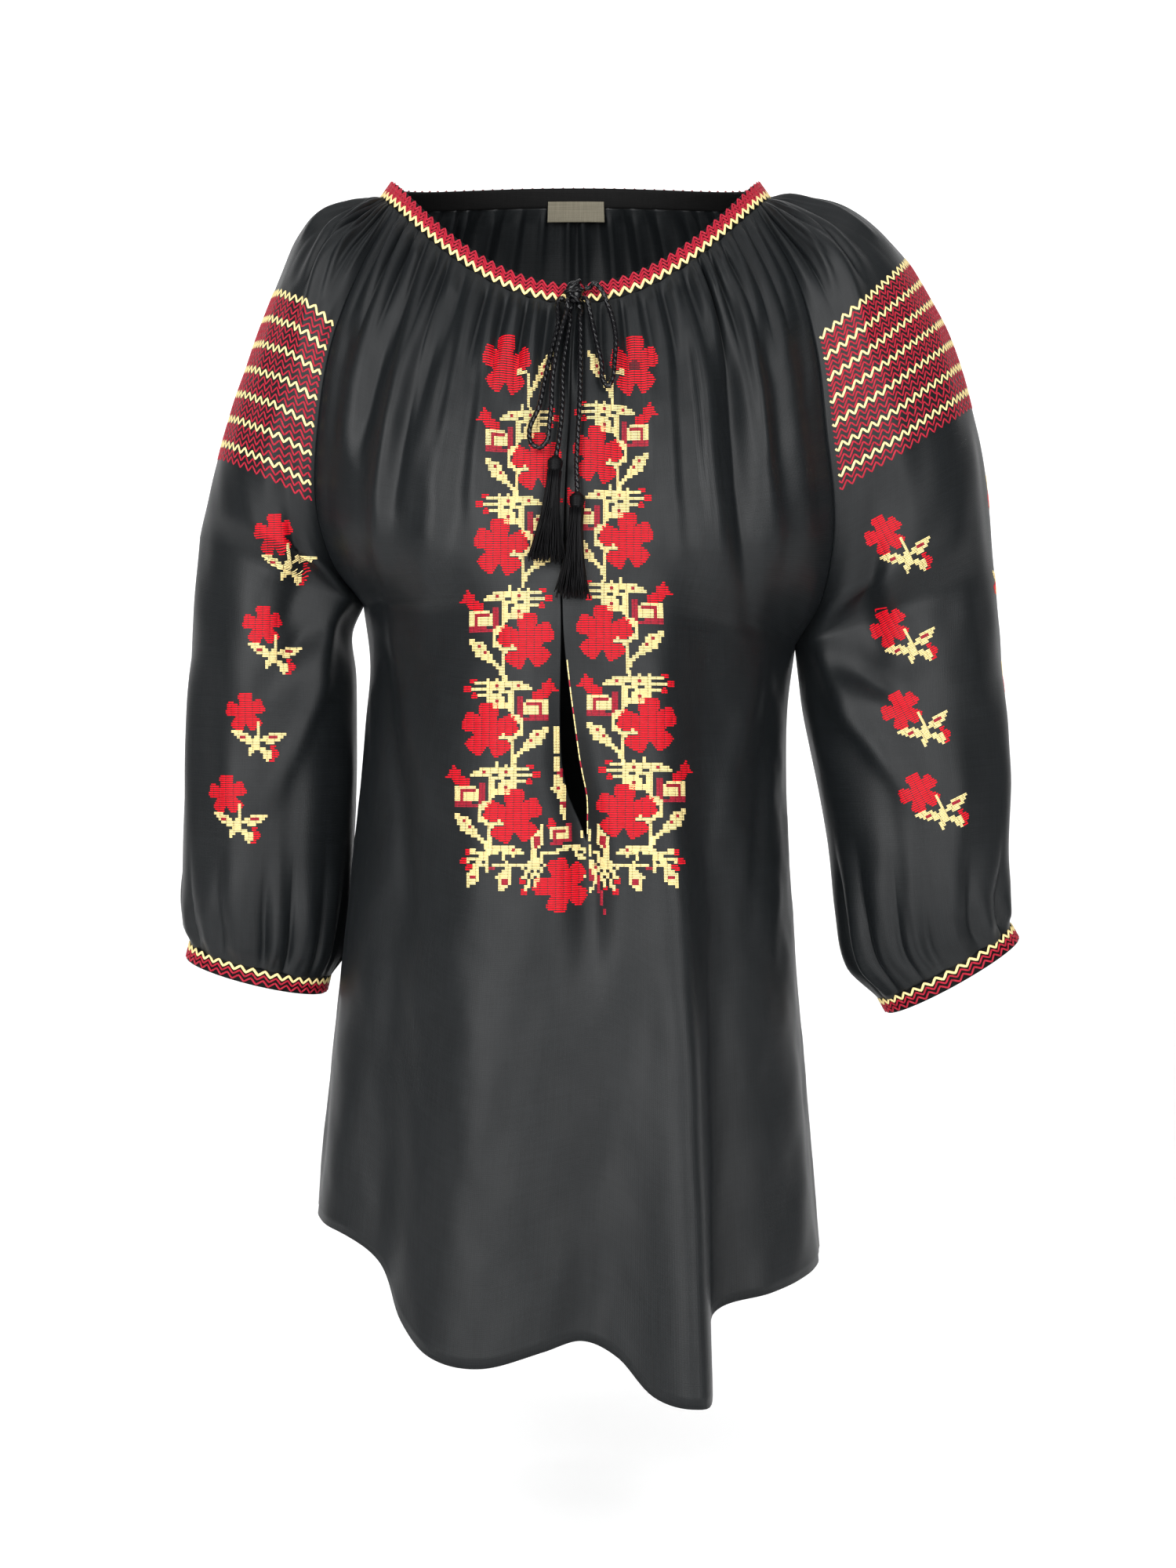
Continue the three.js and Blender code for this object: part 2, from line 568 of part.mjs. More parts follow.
function bodyFoldDepth(deg, s) {
  let total = 0;
  for (const f of BODY_FOLDS) {
    const off = THREE.MathUtils.euclideanModulo(deg - f.deg + 180, 360) - 180;
    const width = off < 0 ? f.leftDeg : f.rightDeg;
    const grow = clamp((s - f.from) / (2 - f.from), 0, 1) ** 1.15;
    total += f.depth * grow * Math.exp(-((off / width) ** 2));
  }
  return total;
}

// How far the slit gapes on each side of its middle line.
function slitHalf(s) {
  if (s >= SLIT.endS) return 0;
  const open = rise(s, SLIT.fromS, SLIT.widestS) * (1 - rise(s, SLIT.widestS, SLIT.endS));
  return SLIT.topHalf + (SLIT.openHalf - SLIT.topHalf) * open;
}

// The cloth beside the open part of the slit turns inwards, and runs out as a crease below it.
const curlDepth = (s) => SLIT.curl * rise(s, 1.02, 1.22) * (1 - rise(s, 1.27, 1.62));

// Millimetres down a panel from the neckband at row s.
const downTo = (length, s) => (s < 1 ? length.raglan * s : length.raglan + length.below * (s - 1));

// The outward direction of a surface, from its own small steps.
function outwardOf(base, u, s) {
  const step = 1e-3;
  const a = base(Math.min(u + step, 1), s).sub(base(Math.max(u - step, 0), s));
  const d = base(u, Math.min(s + step, 2)).sub(base(u, Math.max(s - step, 0)));
  return d.cross(a).normalize();
}

function bodyPoint(face, q, s) {
  const u = uneven(q);
  const half = s < SLIT.endS && face === "front" ? slitHalf(s) : 0;
  const span = bodyBase(face, 1, s).x - bodyBase(face, 0, s).x;
  const end = rad(arcDeg(s));
  const shift = (half * Math.sin(end)) / (end * Math.abs(span));
  const parted = q === 0.5 ? u : 0.5 + (u - 0.5) * (1 - 2 * shift) + Math.sign(q - 0.5) * shift;
  return (side) => {
    const at = q === 0.5 ? 0.5 + side * shift : parted;
    const across = (at - 0.5) * Math.abs(span) * (end / Math.sin(end));
    const base = (x, y) => bodyBase(face, x, y);
    const p = base(at, s);
    const out = outwardOf(base, at, s);
    let depth = gatherDepth(s) * gatherWave(q, GATHERS[face]);
    depth += creaseDepth(CREASES[face], across, downTo(BODY_LENGTH, s));
    depth *= seamFade(at);
    if (face === "front") depth -= curlDepth(s) * Math.exp(-((across / SLIT.curlWidth) ** 2));
    p.addScaledVector(out, depth);
    const turn = (2 * at - 1) * Math.min(arcDeg(s), 90);
    const round = face === "front" ? turn : 180 + turn;
    const level = new V(Math.sin(rad(round)), -Math.cos(rad(round)), 0);
    const fold = bodyFoldDepth(round, s) * (s < 1 ? seamFade(at) : 1);
    return p.addScaledVector(level, fold);
  };
}

function sleevePoint(side, q, s) {
  const u = uneven(q);
  const base = (x, y) => sleeveBase(side, x, y);
  const p = base(u, s);
  const across = (u - 0.5) * -signOf[side] * SLEEVE_WIDTH; // towards the front is above 0
  const top = gatherDepth(s) * gatherWave(q, GATHERS.sleeveTop);
  const { fromS, fullS } = CUFF_GATHERS;
  const grow = rise(s, fromS, fullS) * mix(1, GATHERS.edge / GATHERS.peak, rise(s, fullS, 2));
  const cuff = GATHERS.peak * grow * gatherWave(q, GATHERS.sleeveCuff);
  const depth = top + cuff + creaseDepth(CREASES.sleeve, across, downTo(SLEEVE_LENGTH, s));
  return p.addScaledVector(outwardOf(base, u, s), depth * (s > fromS ? 1 : seamFade(u)));
}

// ---------- The sewn cloth ----------
// All panels share their seam points. Each becomes a wall round the shared surface, drawn back from its seams.
const points = [];
const panels = new Map();
const place = (p) => points.push(p) - 1;

// Joins two rows of { q, id }, the upper and the lower, whose counts may differ.
function strip(panel, upper, lower) {
  const faces = panels.get(panel) ?? panels.set(panel, []).get(panel);
  let i = 0;
  let j = 0;
  while (i < upper.length - 1 || j < lower.length - 1) {
    const stepUpper = i < upper.length - 1 && (j === lower.length - 1 || upper[i + 1].q <= lower[j + 1].q);
    const a = upper[i].id;
    const b = lower[j].id;
    if (stepUpper) {
      i += 1;
      if (a !== upper[i].id) faces.push([a, b, upper[i].id]);
    } else {
      j += 1;
      if (b !== lower[j].id) faces.push([b, lower[j].id, a]);
    }
  }
}

const spaced = (count, from = 0, to = 1) => Array.from({ length: count + 1 }, (_, i) => mix(from, to, i / count));

// The points along a seam, made once and shared by the panels on both sides of it.
const seamIds = new Map();
function seamId(name, s, make) {
  const key = name + s;
  if (!seamIds.has(key)) seamIds.set(key, place(make()));
  return seamIds.get(key);
}

// Names of the seams at a body panel's left and right ends, as seen from outside, above and below the underarm.
function bodyEdge(face, first, s) {
  const side = (face === "front") === first ? "Left" : "Right";
  return s < 1 ? face + side : "side" + side;
}

const bodySpaces = (face, s) => (s <= 0.23 ? 2 * GATHERS[face] : s <= 0.34 ? 28 : s < 1.3 ? 18 : 21);

function sewBody(face) {
  let above = null;
  for (const s of [...RAGLAN_ROWS, ...BODY_ROWS]) {
    const count = bodySpaces(face, s);
    const halves = [-1, 1].map((half) => {
      const qs = half < 0 ? spaced(count, 0, 0.5) : spaced(count, 0.5, 1);
      return qs.map((q) => {
        if (q === 0 || q === 1) {
          const end = () => bodyPoint(face, q, s)(half);
          return { q, id: seamId(bodyEdge(face, q === 0, s), s, end) };
        }
        return { q, id: q === 0.5 ? null : place(bodyPoint(face, q, s)(half)) };
      });
    });
    const open = face === "front" && s < SLIT.endS;
    const middle = [-1, 1].map((half) => (open ? place(bodyPoint(face, 0.5, s)(half)) : null));
    const shared = open ? null : place(bodyPoint(face, 0.5, s)(0));
    halves[0].at(-1).id = open ? middle[0] : shared;
    halves[1][0].id = open ? middle[1] : shared;
    if (above) halves.forEach((row, k) => strip(face, above[k], row));
    above = halves;
  }
}

const sleeveSpaces = (s) => (s <= 0.34 ? 4 * GATHERS.sleeveTop : s < 1.7 ? 28 : 4 * GATHERS.sleeveCuff);

function sewSleeve(side) {
  let above = null;
  for (const s of [...RAGLAN_ROWS, ...SLEEVE_ROWS]) {
    const row = spaced(sleeveSpaces(s)).map((q) => {
      if (q > 0 && q < 1) return { q, id: place(sleevePoint(side, q, s)) };
      const make = () => sleevePoint(side, q, s);
      if (s > 1) return { q, id: seamId("underarm" + side, s, make) };
      const name = s < 1 ? seamEnds[side][q] : "side" + (side === "left" ? "Left" : "Right");
      return { q, id: seamId(name, s, make) };
    });
    if (above) strip("sleeve_" + side, above, row);
    above = row;
  }
}

// Each point's outward direction: its faces' directions weighed by the angle each fills at the point.
function pointNormals() {
  const normals = points.map(() => new V());
  for (const face of [...panels.values()].flat()) {
    face.forEach((i, k) => {
      const one = points[face[(k + 1) % 3]].clone().sub(points[i]);
      const two = points[face[(k + 2) % 3]].clone().sub(points[i]);
      normals[i].addScaledVector(one.clone().cross(two).normalize(), one.angleTo(two));
    });
  }
  return normals.map((n) => n.normalize());
}

// Each edge that only one face uses, with the direction from it into the panel.
function openEdges(faces) {
  const edges = new Map();
  for (const face of faces) {
    face.forEach((a, k) => {
      const b = face[(k + 1) % 3];
      if (!edges.delete(b + "," + a)) edges.set(a + "," + b, { a, b, c: face[(k + 2) % 3] });
    });
  }
  for (const e of edges.values()) {
    const run = points[e.b].clone().sub(points[e.a]).normalize();
    e.inward = points[e.c].clone().sub(points[e.a]);
    e.inward.addScaledVector(run, -e.inward.dot(run)).normalize();
  }
  return [...edges.values()];
}

function wall(faces, normals) {
  const rim = openEdges(faces);
  const moved = new Map();
  for (const e of rim) {
    for (const i of [e.a, e.b]) moved.set(i, [...(moved.get(i) ?? []), e.inward]);
  }
  const at = (i) => {
    const p = points[i].clone();
    const pulls = moved.get(i);
    if (!pulls) return p;
    const sum = pulls.reduce((t, n) => t.add(n), new V());
    const spread = Math.max(sum.lengthSq() / 2, 0.25);
    const level = sum.clone().projectOnPlane(normals[i]).length() / sum.length();
    return p.addScaledVector(sum, SEAM_GAP / 2 / spread / Math.max(level, 0.35));
  };
  const ids = new Map();
  const coordinates = [];
  const corner = (i, layer) => {
    const key = i * 2 + layer;
    if (!ids.has(key)) {
      ids.set(key, coordinates.length / 3);
      const p = at(i).addScaledVector(normals[i], (layer ? -0.5 : 0.5) * CLOTH);
      coordinates.push(p.x, p.y, p.z);
    }
    return ids.get(key);
  };
  const index = [];
  for (const [a, b, c] of faces) {
    index.push(corner(a, 0), corner(b, 0), corner(c, 0));
    index.push(corner(a, 1), corner(c, 1), corner(b, 1));
  }
  // Both walls at a seam split their rim the same way, from the outer corner at the point made first.
  for (const { a, b } of rim) {
    const [a0, a1, b0, b1] = [corner(a, 0), corner(a, 1), corner(b, 0), corner(b, 1)];
    index.push(...(a < b ? [b0, a0, b1, a0, a1, b1] : [b0, a0, a1, b0, a1, b1]));
  }
  return solid(coordinates, index);
}

// ---------- Bands and cords ----------
// Carries a section of { out, up } points along frames of { foot, out, up }, as a closed ring or with flat ends.
function sweep(frames, section, closed) {
  const coordinates = [];
  for (const { foot, up, out } of frames) {
    for (const point of section) {
      const p = foot.clone().addScaledVector(out, point.out).addScaledVector(up, point.up);
      coordinates.push(p.x, p.y, p.z);
    }
  }
  const sides = section.length;
  const index = [];
  const runs = closed ? frames.length : frames.length - 1;
  for (let i = 0; i < runs; i += 1) {
    const next = ((i + 1) % frames.length) * sides;
    for (let k = 0; k < sides; k += 1) {
      const m = (k + 1) % sides;
      index.push(i * sides + k, next + k, i * sides + m);
      index.push(next + k, next + m, i * sides + m);
    }
  }
  if (!closed) {
    const end = (frames.length - 1) * sides;
    for (let k = 1; k < sides - 1; k += 1) {
      index.push(0, k, k + 1);
      index.push(end, end + k + 1, end + k);
    }
  }
  return solid(coordinates, index);
}

function solid(coordinates, index) {
  const geometry = new THREE.BufferGeometry();
  geometry.setAttribute("position", new THREE.Float32BufferAttribute(coordinates, 3));
  return geometry.setIndex(index);
}

// A folded band of cloth: flat faces with its long edges turned to a soft point.
function bandSection(height, thickness) {
  const edge = 0.9;
  return [
    { out: 0, up: 0 },
    { out: thickness / 2, up: edge },
    { out: thickness / 2, up: height - edge },
    { out: 0, up: height },
    { out: -thickness / 2, up: height - edge },
    { out: -thickness / 2, up: edge },
  ];
}

function neckFrame(deg) {
  const run = neckRing(deg + 0.5).sub(neckRing(deg - 0.5)).normalize();
  const up = bandUp(deg);
  return { foot: neckRing(deg), up, out: run.cross(up).normalize() };
}

function neckband() {
  const degs = spaced(NECKBAND.stations, NECKBAND.endDeg, 360 - NECKBAND.endDeg);
  return sweep(degs.map(neckFrame), bandSection(NECKBAND.height, NECKBAND.thickness), false);
}

function cuff(side) {
  const { middle, outward, across } = ringFrame(side, 1);
  const down = outward.clone().cross(across).normalize();
  if (down.z > 0) down.negate();
  const frames = spaced(CUFF.stations).slice(0, -1).map((u) => {
    const turn = (1 - 2 * u) * Math.PI;
    const arm = outward.clone().multiplyScalar(Math.cos(turn)).addScaledVector(across, Math.sin(turn));
    const foot = middle.clone().add(arm).addScaledVector(down, SEAM_GAP);
    return { foot, up: down, out: arm.normalize() };
  });
  return sweep(frames, bandSection(CUFF.height, CUFF.thickness), true);
}

// The label hangs inside the middle of the back, behind the neckband and following its curve.
function label() {
  const inward = -NECKBAND.thickness / 2 - LABEL.behindBand - LABEL.thickness / 2;
  const half = THREE.MathUtils.radToDeg(Math.asin(LABEL.width / 2 / NECK.halfWidth));
  const section = [
    { out: inward + LABEL.thickness / 2, up: LABEL.bottom },
    { out: inward + LABEL.thickness / 2, up: LABEL.top },
    { out: inward - LABEL.thickness / 2, up: LABEL.top },
    { out: inward - LABEL.thickness / 2, up: LABEL.bottom },
  ];
  return sweep(spaced(LABEL.spaces, 180 - half, 180 + half).map(neckFrame), section, false);
}

// The depth of the front's surface behind a point given from the front.
function frontDepth(x, z) {
  let low = 0;
  let high = 1.6;
  let point;
  for (let i = 0; i < 24; i += 1) {
    const s = (low + high) / 2;
    let [left, right] = [0, 1];
    for (let k = 0; k < 20; k += 1) {
      const u = (left + right) / 2;
      point = bodyBase("front", u, s);
      if (point.x < x) left = u;
      else right = u;
    }
    if (point.z > z) low = s;
    else high = s;
  }
  return point.y;
}

// A point before the front's cloth. Above the cloth's top edge it stands off the same depth as at that edge.
const CLOTH_TOP_Z = -92;
const standing = ({ x, z, stand }) => new V(x, frontDepth(x, Math.min(z, CLOTH_TOP_Z)) - stand, z);

// Two points that lead a cord straight out of the knot's surface.
function leaveKnot({ round, forward }) {
  const level = Math.cos(rad(forward));
  const toward = new V(Math.cos(rad(round)) * level, -Math.sin(rad(forward)), Math.sin(rad(round)) * level);
  const half = new V(KNOT.halfWidth, KNOT.halfDepth, KNOT.halfHeight);
  const surface = new V(KNOT.x, KNOT.y, KNOT.z).add(toward.clone().multiply(half));
  const out = toward.divide(half).normalize();
  return [KNOT.gap, KNOT.gap + CORD.diameter].map((d) => surface.clone().addScaledVector(out, d));
}

function cord(name, rows) {
  const { start, end } = CORD_EXITS[name];
  const route = [...leaveKnot(start), ...rows.map(standing), ...(end ? leaveKnot(end).reverse() : [])];
  const curve = new THREE.CatmullRomCurve3(route, false, "centripetal");
  const outline = spaced(CORD.sides).slice(0, -1).map((t) => new THREE.Vector2(
    (CORD.diameter / 2) * Math.cos(2 * Math.PI * t),
    (CORD.diameter / 2) * Math.sin(2 * Math.PI * t),
  ));
  const steps = Math.round(curve.getLength() / CORD.step);
  return new THREE.ExtrudeGeometry(new THREE.Shape(outline), { steps, bevelEnabled: false, extrudePath: curve });
}

// The bow's knot: an oval ball with shallow slanting wraps.
function knot() {
  const geometry = new THREE.SphereGeometry(1, 12, 8);
  geometry.deleteAttribute("uv");
  geometry.deleteAttribute("normal");
  const position = geometry.getAttribute("position");
  for (let i = 0; i < position.count; i += 1) {
    const p = new V().fromBufferAttribute(position, i);
    const swell = 1 - KNOT.wraps * (0.5 + 0.5 * Math.cos(5 * p.y + 3 * p.x)) * (1 - p.y * p.y);
    position.setXYZ(
      i,
      KNOT.x + KNOT.halfWidth * swell * p.x,
      KNOT.y - KNOT.halfDepth * swell * p.z,
      KNOT.z + KNOT.halfHeight * p.y,
    );
  }
  return geometry;
}

// A tassel in one piece: a round head whose flat underside is divided into small triangles, and a strand drawn
// out of each of them towards the spread end.
function tassel(spec) {
  const top = standing(spec.head);
  const end = standing(spec.end);
  const down = end.clone().sub(top);
  const long = down.length();
  down.normalize();
  const wide = new V(0, -1, 0).cross(down).normalize();
  const deep = down.clone().cross(wide);
  const coordinates = [];
  const index = [];
  const put = (radius, turn, drop, share = 1) => {
    const p = top.clone().addScaledVector(down, drop);
    p.addScaledVector(wide, radius * Math.cos(turn)).addScaledVector(deep, radius * share * Math.sin(turn));
    return coordinates.push(p.x, p.y, p.z) / 3 - 1;
  };
  const quad = (a, b, c, d) => index.push(a, b, c, a, c, d);
  const around = 6 * TASSEL.rings;
  const turns = spaced(around).slice(0, -1).map((t) => 2 * Math.PI * t);
  // The underside: hexagonal rings of points round the middle one.
  const rings = [[put(0, 0, TASSEL.headLength)]];
  for (let r = 1; r <= TASSEL.rings; r += 1) {
    const radius = (TASSEL.rootShare * TASSEL.headRadius * r) / TASSEL.rings;
    rings.push(spaced(6 * r).slice(0, -1).map((t) => put(radius, 2 * Math.PI * t, TASSEL.headLength)));
  }
  const cells = [];
  for (let r = 1; r <= TASSEL.rings; r += 1) {
    const [inner, outer] = [rings[r - 1], rings[r]];
    for (let side = 0; side < 6; side += 1) {
      for (let k = 0; k < r; k += 1) {
        const o = side * r + k;
        const n = side * (r - 1) + k;
        const innerAt = (i) => inner[i % inner.length];
        cells.push([innerAt(n), outer[o], outer[(o + 1) % outer.length]]);
        if (k < r - 1) cells.push([innerAt(n), outer[(o + 1) % outer.length], innerAt(n + 1)]);
      }
    }
  }
  const rootOf = (i) => new V().fromArray(coordinates, 3 * i);
  const underside = rootOf(rings[0][0]);
  cells.forEach((cell, c) => {
    const roots = cell.map(rootOf);
    const middle = roots.reduce((t, p) => t.add(p.clone().divideScalar(3)), new V());
    const away = middle.clone().sub(underside);
    const [sideways, forwards] = [away.dot(wide), away.dot(deep)];
    const length = long - TASSEL.headLength - TASSEL.uneven * Math.abs(Math.sin(3.7 * c));
    const foot = underside.clone().addScaledVector(down, length);
    foot.addScaledVector(wide, (sideways * spec.spread) / TASSEL.headRadius + 0.5 * Math.sin(2.3 * c));
    foot.addScaledVector(deep, (forwards * spec.depth) / TASSEL.headRadius);
    const level = (centre, share) =>
      roots.map((p) => {
        const q = centre.clone().addScaledVector(p.clone().sub(middle), share);
        return coordinates.push(q.x, q.y, q.z) / 3 - 1;
      });
    const start = level(middle, TASSEL.strandShare);
    const tip = level(foot, TASSEL.strandShare);
    for (let k = 0; k < 3; k += 1) {
      const m = (k + 1) % 3;
      quad(cell[k], cell[m], start[m], start[k]);
      quad(start[k], start[m], tip[m], tip[k]);
    }
    index.push(tip[0], tip[1], tip[2]);
  });
  // The round head above it.
  const levels = [
    { radius: TASSEL.headRadius, drop: 0.62 * TASSEL.headLength },
    { radius: 0.72 * TASSEL.headRadius, drop: 0.13 * TASSEL.headLength },
  ];
  let below = rings.at(-1);
  for (const { radius, drop } of levels) {
    const ring = turns.map((turn) => put(radius, turn, drop));
    ring.forEach((_, k) => {
      const m = (k + 1) % around;
      quad(below[m], below[k], ring[k], ring[m]);
    });
    below = ring;
  }
  const crown = put(0, 0, 0);
  below.forEach((_, k) => index.push(below[(k + 1) % around], below[k], crown));
  return solid(coordinates, index);
}

// ---------- The part ----------
const cloth = new THREE.MeshStandardMaterial({ color: 0x17191b, roughness: 0.6, metalness: 0 });
const bandCloth = new THREE.MeshStandardMaterial({ color: 0x8f1a22, roughness: 0.75, metalness: 0 });
const cordThread = new THREE.MeshStandardMaterial({ color: 0x0c0c0d, roughness: 0.5, metalness: 0 });
const labelCloth = new THREE.MeshStandardMaterial({ color: 0xb3a791, roughness: 0.7, metalness: 0 });

const blouse = new THREE.Group();
function part(name, geometry, material) {
  const mesh = new THREE.Mesh(geometry, material);
  mesh.name = name;
  blouse.add(mesh);
}

sewBody("front");
sewBody("back");
sewSleeve("left");
sewSleeve("right");
const normals = pointNormals();
for (const [name, faces] of panels) part(name, wall(faces, normals), cloth);
part("neckband", neckband(), bandCloth);
part("cuff_left", cuff("left"), bandCloth);
part("cuff_right", cuff("right"), bandCloth);
part("label", label(), labelCloth);
part("bow_knot", knot(), cordThread);
for (const [name, rows] of Object.entries(CORDS)) part(name, cord(name, rows), cordThread);
for (const [name, spec] of Object.entries(TASSELS)) part(name, tassel(spec), cordThread);

export default blouse;
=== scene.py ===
"""A black gathered folk blouse, open as on a general figure, with embroidery, a twisted tie and two tassels.

Shapes are in millimetres, turned to metres where a mesh is made. +Z is up, -Y is the front and +X is to the
right as seen from the front. Each cloth panel is a sheet over u (left to right, seen from outside) and s (0
at the neckband, 1 at the underarm, 2 at the hem or cuff), and what is sewn on it lies on that panel's own
points. The places q are the even ones across a panel: u is q with the unevenness of the gathers added.
"""

import bpy
import numpy as np
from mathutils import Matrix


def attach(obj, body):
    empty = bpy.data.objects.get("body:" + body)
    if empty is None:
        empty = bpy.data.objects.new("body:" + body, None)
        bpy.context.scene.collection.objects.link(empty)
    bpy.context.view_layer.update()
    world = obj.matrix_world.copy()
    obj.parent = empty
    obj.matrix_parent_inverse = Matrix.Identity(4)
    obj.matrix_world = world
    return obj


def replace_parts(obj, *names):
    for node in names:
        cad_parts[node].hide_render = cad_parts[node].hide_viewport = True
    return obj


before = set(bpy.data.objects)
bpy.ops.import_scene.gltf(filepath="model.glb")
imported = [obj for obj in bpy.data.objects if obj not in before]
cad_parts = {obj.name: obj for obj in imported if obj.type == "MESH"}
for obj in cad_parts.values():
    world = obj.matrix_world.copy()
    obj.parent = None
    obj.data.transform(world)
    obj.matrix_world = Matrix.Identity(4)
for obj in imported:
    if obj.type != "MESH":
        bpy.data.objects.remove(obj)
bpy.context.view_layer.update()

MM = 0.001
BODY = "root"

# ---------- Driving dimensions ----------
CLOTH = 0.8  # shown wall of every cloth panel
SEAM_GAP = 0.5
TUCK = 1.0  # how far the gathered cloth runs up into the neckband and down into the cuffs
NECK_X, NECK_HALF_WIDTH, NECK_FRONT, NECK_BACK = 1, 123.5, 95, 80
NECK_SIDE_Z, NECK_FRONT_DROP, NECK_FRONT_POWER, NECK_BACK_RISE = -8, 81.6, 2.17, 14
NECK_BLEND = 0.25  # the s down to which a panel still bends towards the neck edge
SEAM_FRONT_DEG, SEAM_BACK_DEG = 66, 114  # where the raglan seams meet the neckband, from centre front
BAND_HEIGHT, BAND_THICK, BAND_END_DEG = 13, 3, 0.6
CUFF_HEIGHT, CUFF_THICK = 11, 2.6
CORD, LAY = 3.0, 11.5  # the tie's thickness and the length of one turn of its twist
KNOT = np.array([0.5, -99.9, -83.3])
KNOT_HALF = np.array([6.5, 4.4, 8.0])
KNOT_GAP = 0.35
TASSEL_RADIUS, TASSEL_HEAD = 4.8, 11
LABEL_WIDTH, LABEL_TOP, LABEL_BOTTOM, LABEL_THICK, LABEL_BEHIND = 38, 4.4, -9.1, 0.5, 0.75
# The slit: the s at which it starts to gape, gapes most and ends, and half its gape at its top and widest.
SLIT_FROM, SLIT_WIDEST, SLIT_END, SLIT_TOP_HALF, SLIT_OPEN_HALF = 1.0, 1.245, 1.32, 0.45, 6
CURL, CURL_WIDTH = 13, 13  # how deep and how wide the slit's lips roll inwards
GATHERS = {"front": 24, "back": 18, "sleeve_top": 8, "sleeve_cuff": 14}
GATHER_EDGE, GATHER_PEAK, GATHER_FADE = 0.7, 3.1, 0.42  # depth at a band and off it, and where it ends
# Cloth across a panel, and down it to the underarm and from there on.
BODY_WIDTH, BODY_ABOVE, BODY_BELOW = 360, 195, 435
SLEEVE_WIDTH, SLEEVE_ABOVE, SLEEVE_BELOW = 330, 235, 235
RIPPLES, RIPPLE_WAVE, RIPPLE_DEPTH = 16, 42, 0.55
# Columns and rows of each panel's grid. A body panel has as many columns again for its other half.
PANEL_GRID = {"front": (116, 182), "back": (86, 132), "sleeve": (192, 156)}
SIGN = {"left": -1, "right": 1}
STEP = 1e-3  # of u and s, over which a surface's slopes are taken


def table(columns, rows):
    """Rows of numbers as named columns."""
    return dict(zip(columns.split(), np.array(rows, float).T))


# ---------- Shape tables ----------
SEAMS = {
    "front_left": table("v x y z", [
        (0, -111, -39, -19), (0.2, -131, -63, -63), (0.4, -147, -72, -108), (0.6, -155, -73, -155),
        (0.8, -158, -58, -208), (0.9, -150, -34, -241), (1, -134, 0, -264),
    ]),
    "front_right": table("v x y z", [
        (0, 113, -39, -19), (0.2, 136, -62, -66), (0.4, 148, -71, -112), (0.6, 154, -71, -162),
        (0.8, 160, -58, -220), (0.9, 155, -34, -262), (1, 141, 0, -290),
    ]),
    "back_left": table("v x y z", [
        (0, -111, 33, -4), (0.2, -132, 60, -46), (0.4, -148, 72, -94), (0.6, -156, 73, -147),
        (0.8, -158, 57, -205), (0.9, -150, 33, -240), (1, -134, 0, -264),
    ]),
    "back_right": table("v x y z", [
        (0, 113, 33, -4), (0.2, 136, 60, -48), (0.4, 149, 72, -98), (0.6, 156, 73, -154),
        (0.8, 160, 57, -216), (0.9, 155, 33, -260), (1, 141, 0, -290),
    ]),
}
CENTRES = {
    "front": table("s x y z", [
        (0, 1, -95, -90), (0.2, -1, -107, -125), (0.4, -2, -118, -160), (0.6, -4, -126, -197),
        (0.8, -5, -131, -235), (1, -6.5, -133, -275), (1.2, -2, -131, -362), (1.32, 8, -128, -413),
        (1.5, 9, -126, -491), (1.8, 4, -128, -621), (2, 0, -131, -708),
    ]),
    "back": table("s x y z", [
        (0, 1, 80, 6), (0.2, 1, 97, -32), (0.4, 1, 108, -76), (0.6, 1, 114, -125), (0.8, 1, 115, -180),
        (1, 1, 112, -238), (1.2, 1, 108, -335), (1.5, 0, 108, -480), (1.8, -1, 113, -625), (2, -2, 119, -722),
    ]),
}
# How far round the body a row's ends lie, and how fast its height falls from its ends to its middle.
ROW_ARC = table("s deg power", [
    (0, 66, 1.42), (0.2, 63, 1.3), (0.4, 62, 1.2), (0.6, 64, 1.1), (0.8, 68, 1), (1, 72, 1),
    (1.2, 84, 1), (1.4, 90, 1), (2, 90, 1),
])
SIDES = table("s left right", [
    (1, -134, 141), (1.1, -129.5, 136), (1.2, -132.5, 135), (1.35, -137, 136.5), (1.5, -143, 140),
    (1.65, -149, 144.5), (1.8, -155, 149.5), (2, -162, 156),
])
# Height of the hem all round; 0 degrees is centre front and 90 is the right side seam.
HEM = table("deg z", [
    (-180, -722), (-150, -712), (-118, -670), (-90, -645), (-62, -652), (-50, -668), (-40, -699),
    (-30, -718), (-19, -723), (-6, -713), (2, -708), (10, -717), (16, -737), (22, -742), (28, -737),
    (34, -703), (50, -687), (90, -672), (120, -688), (150, -715), (180, -722),
])
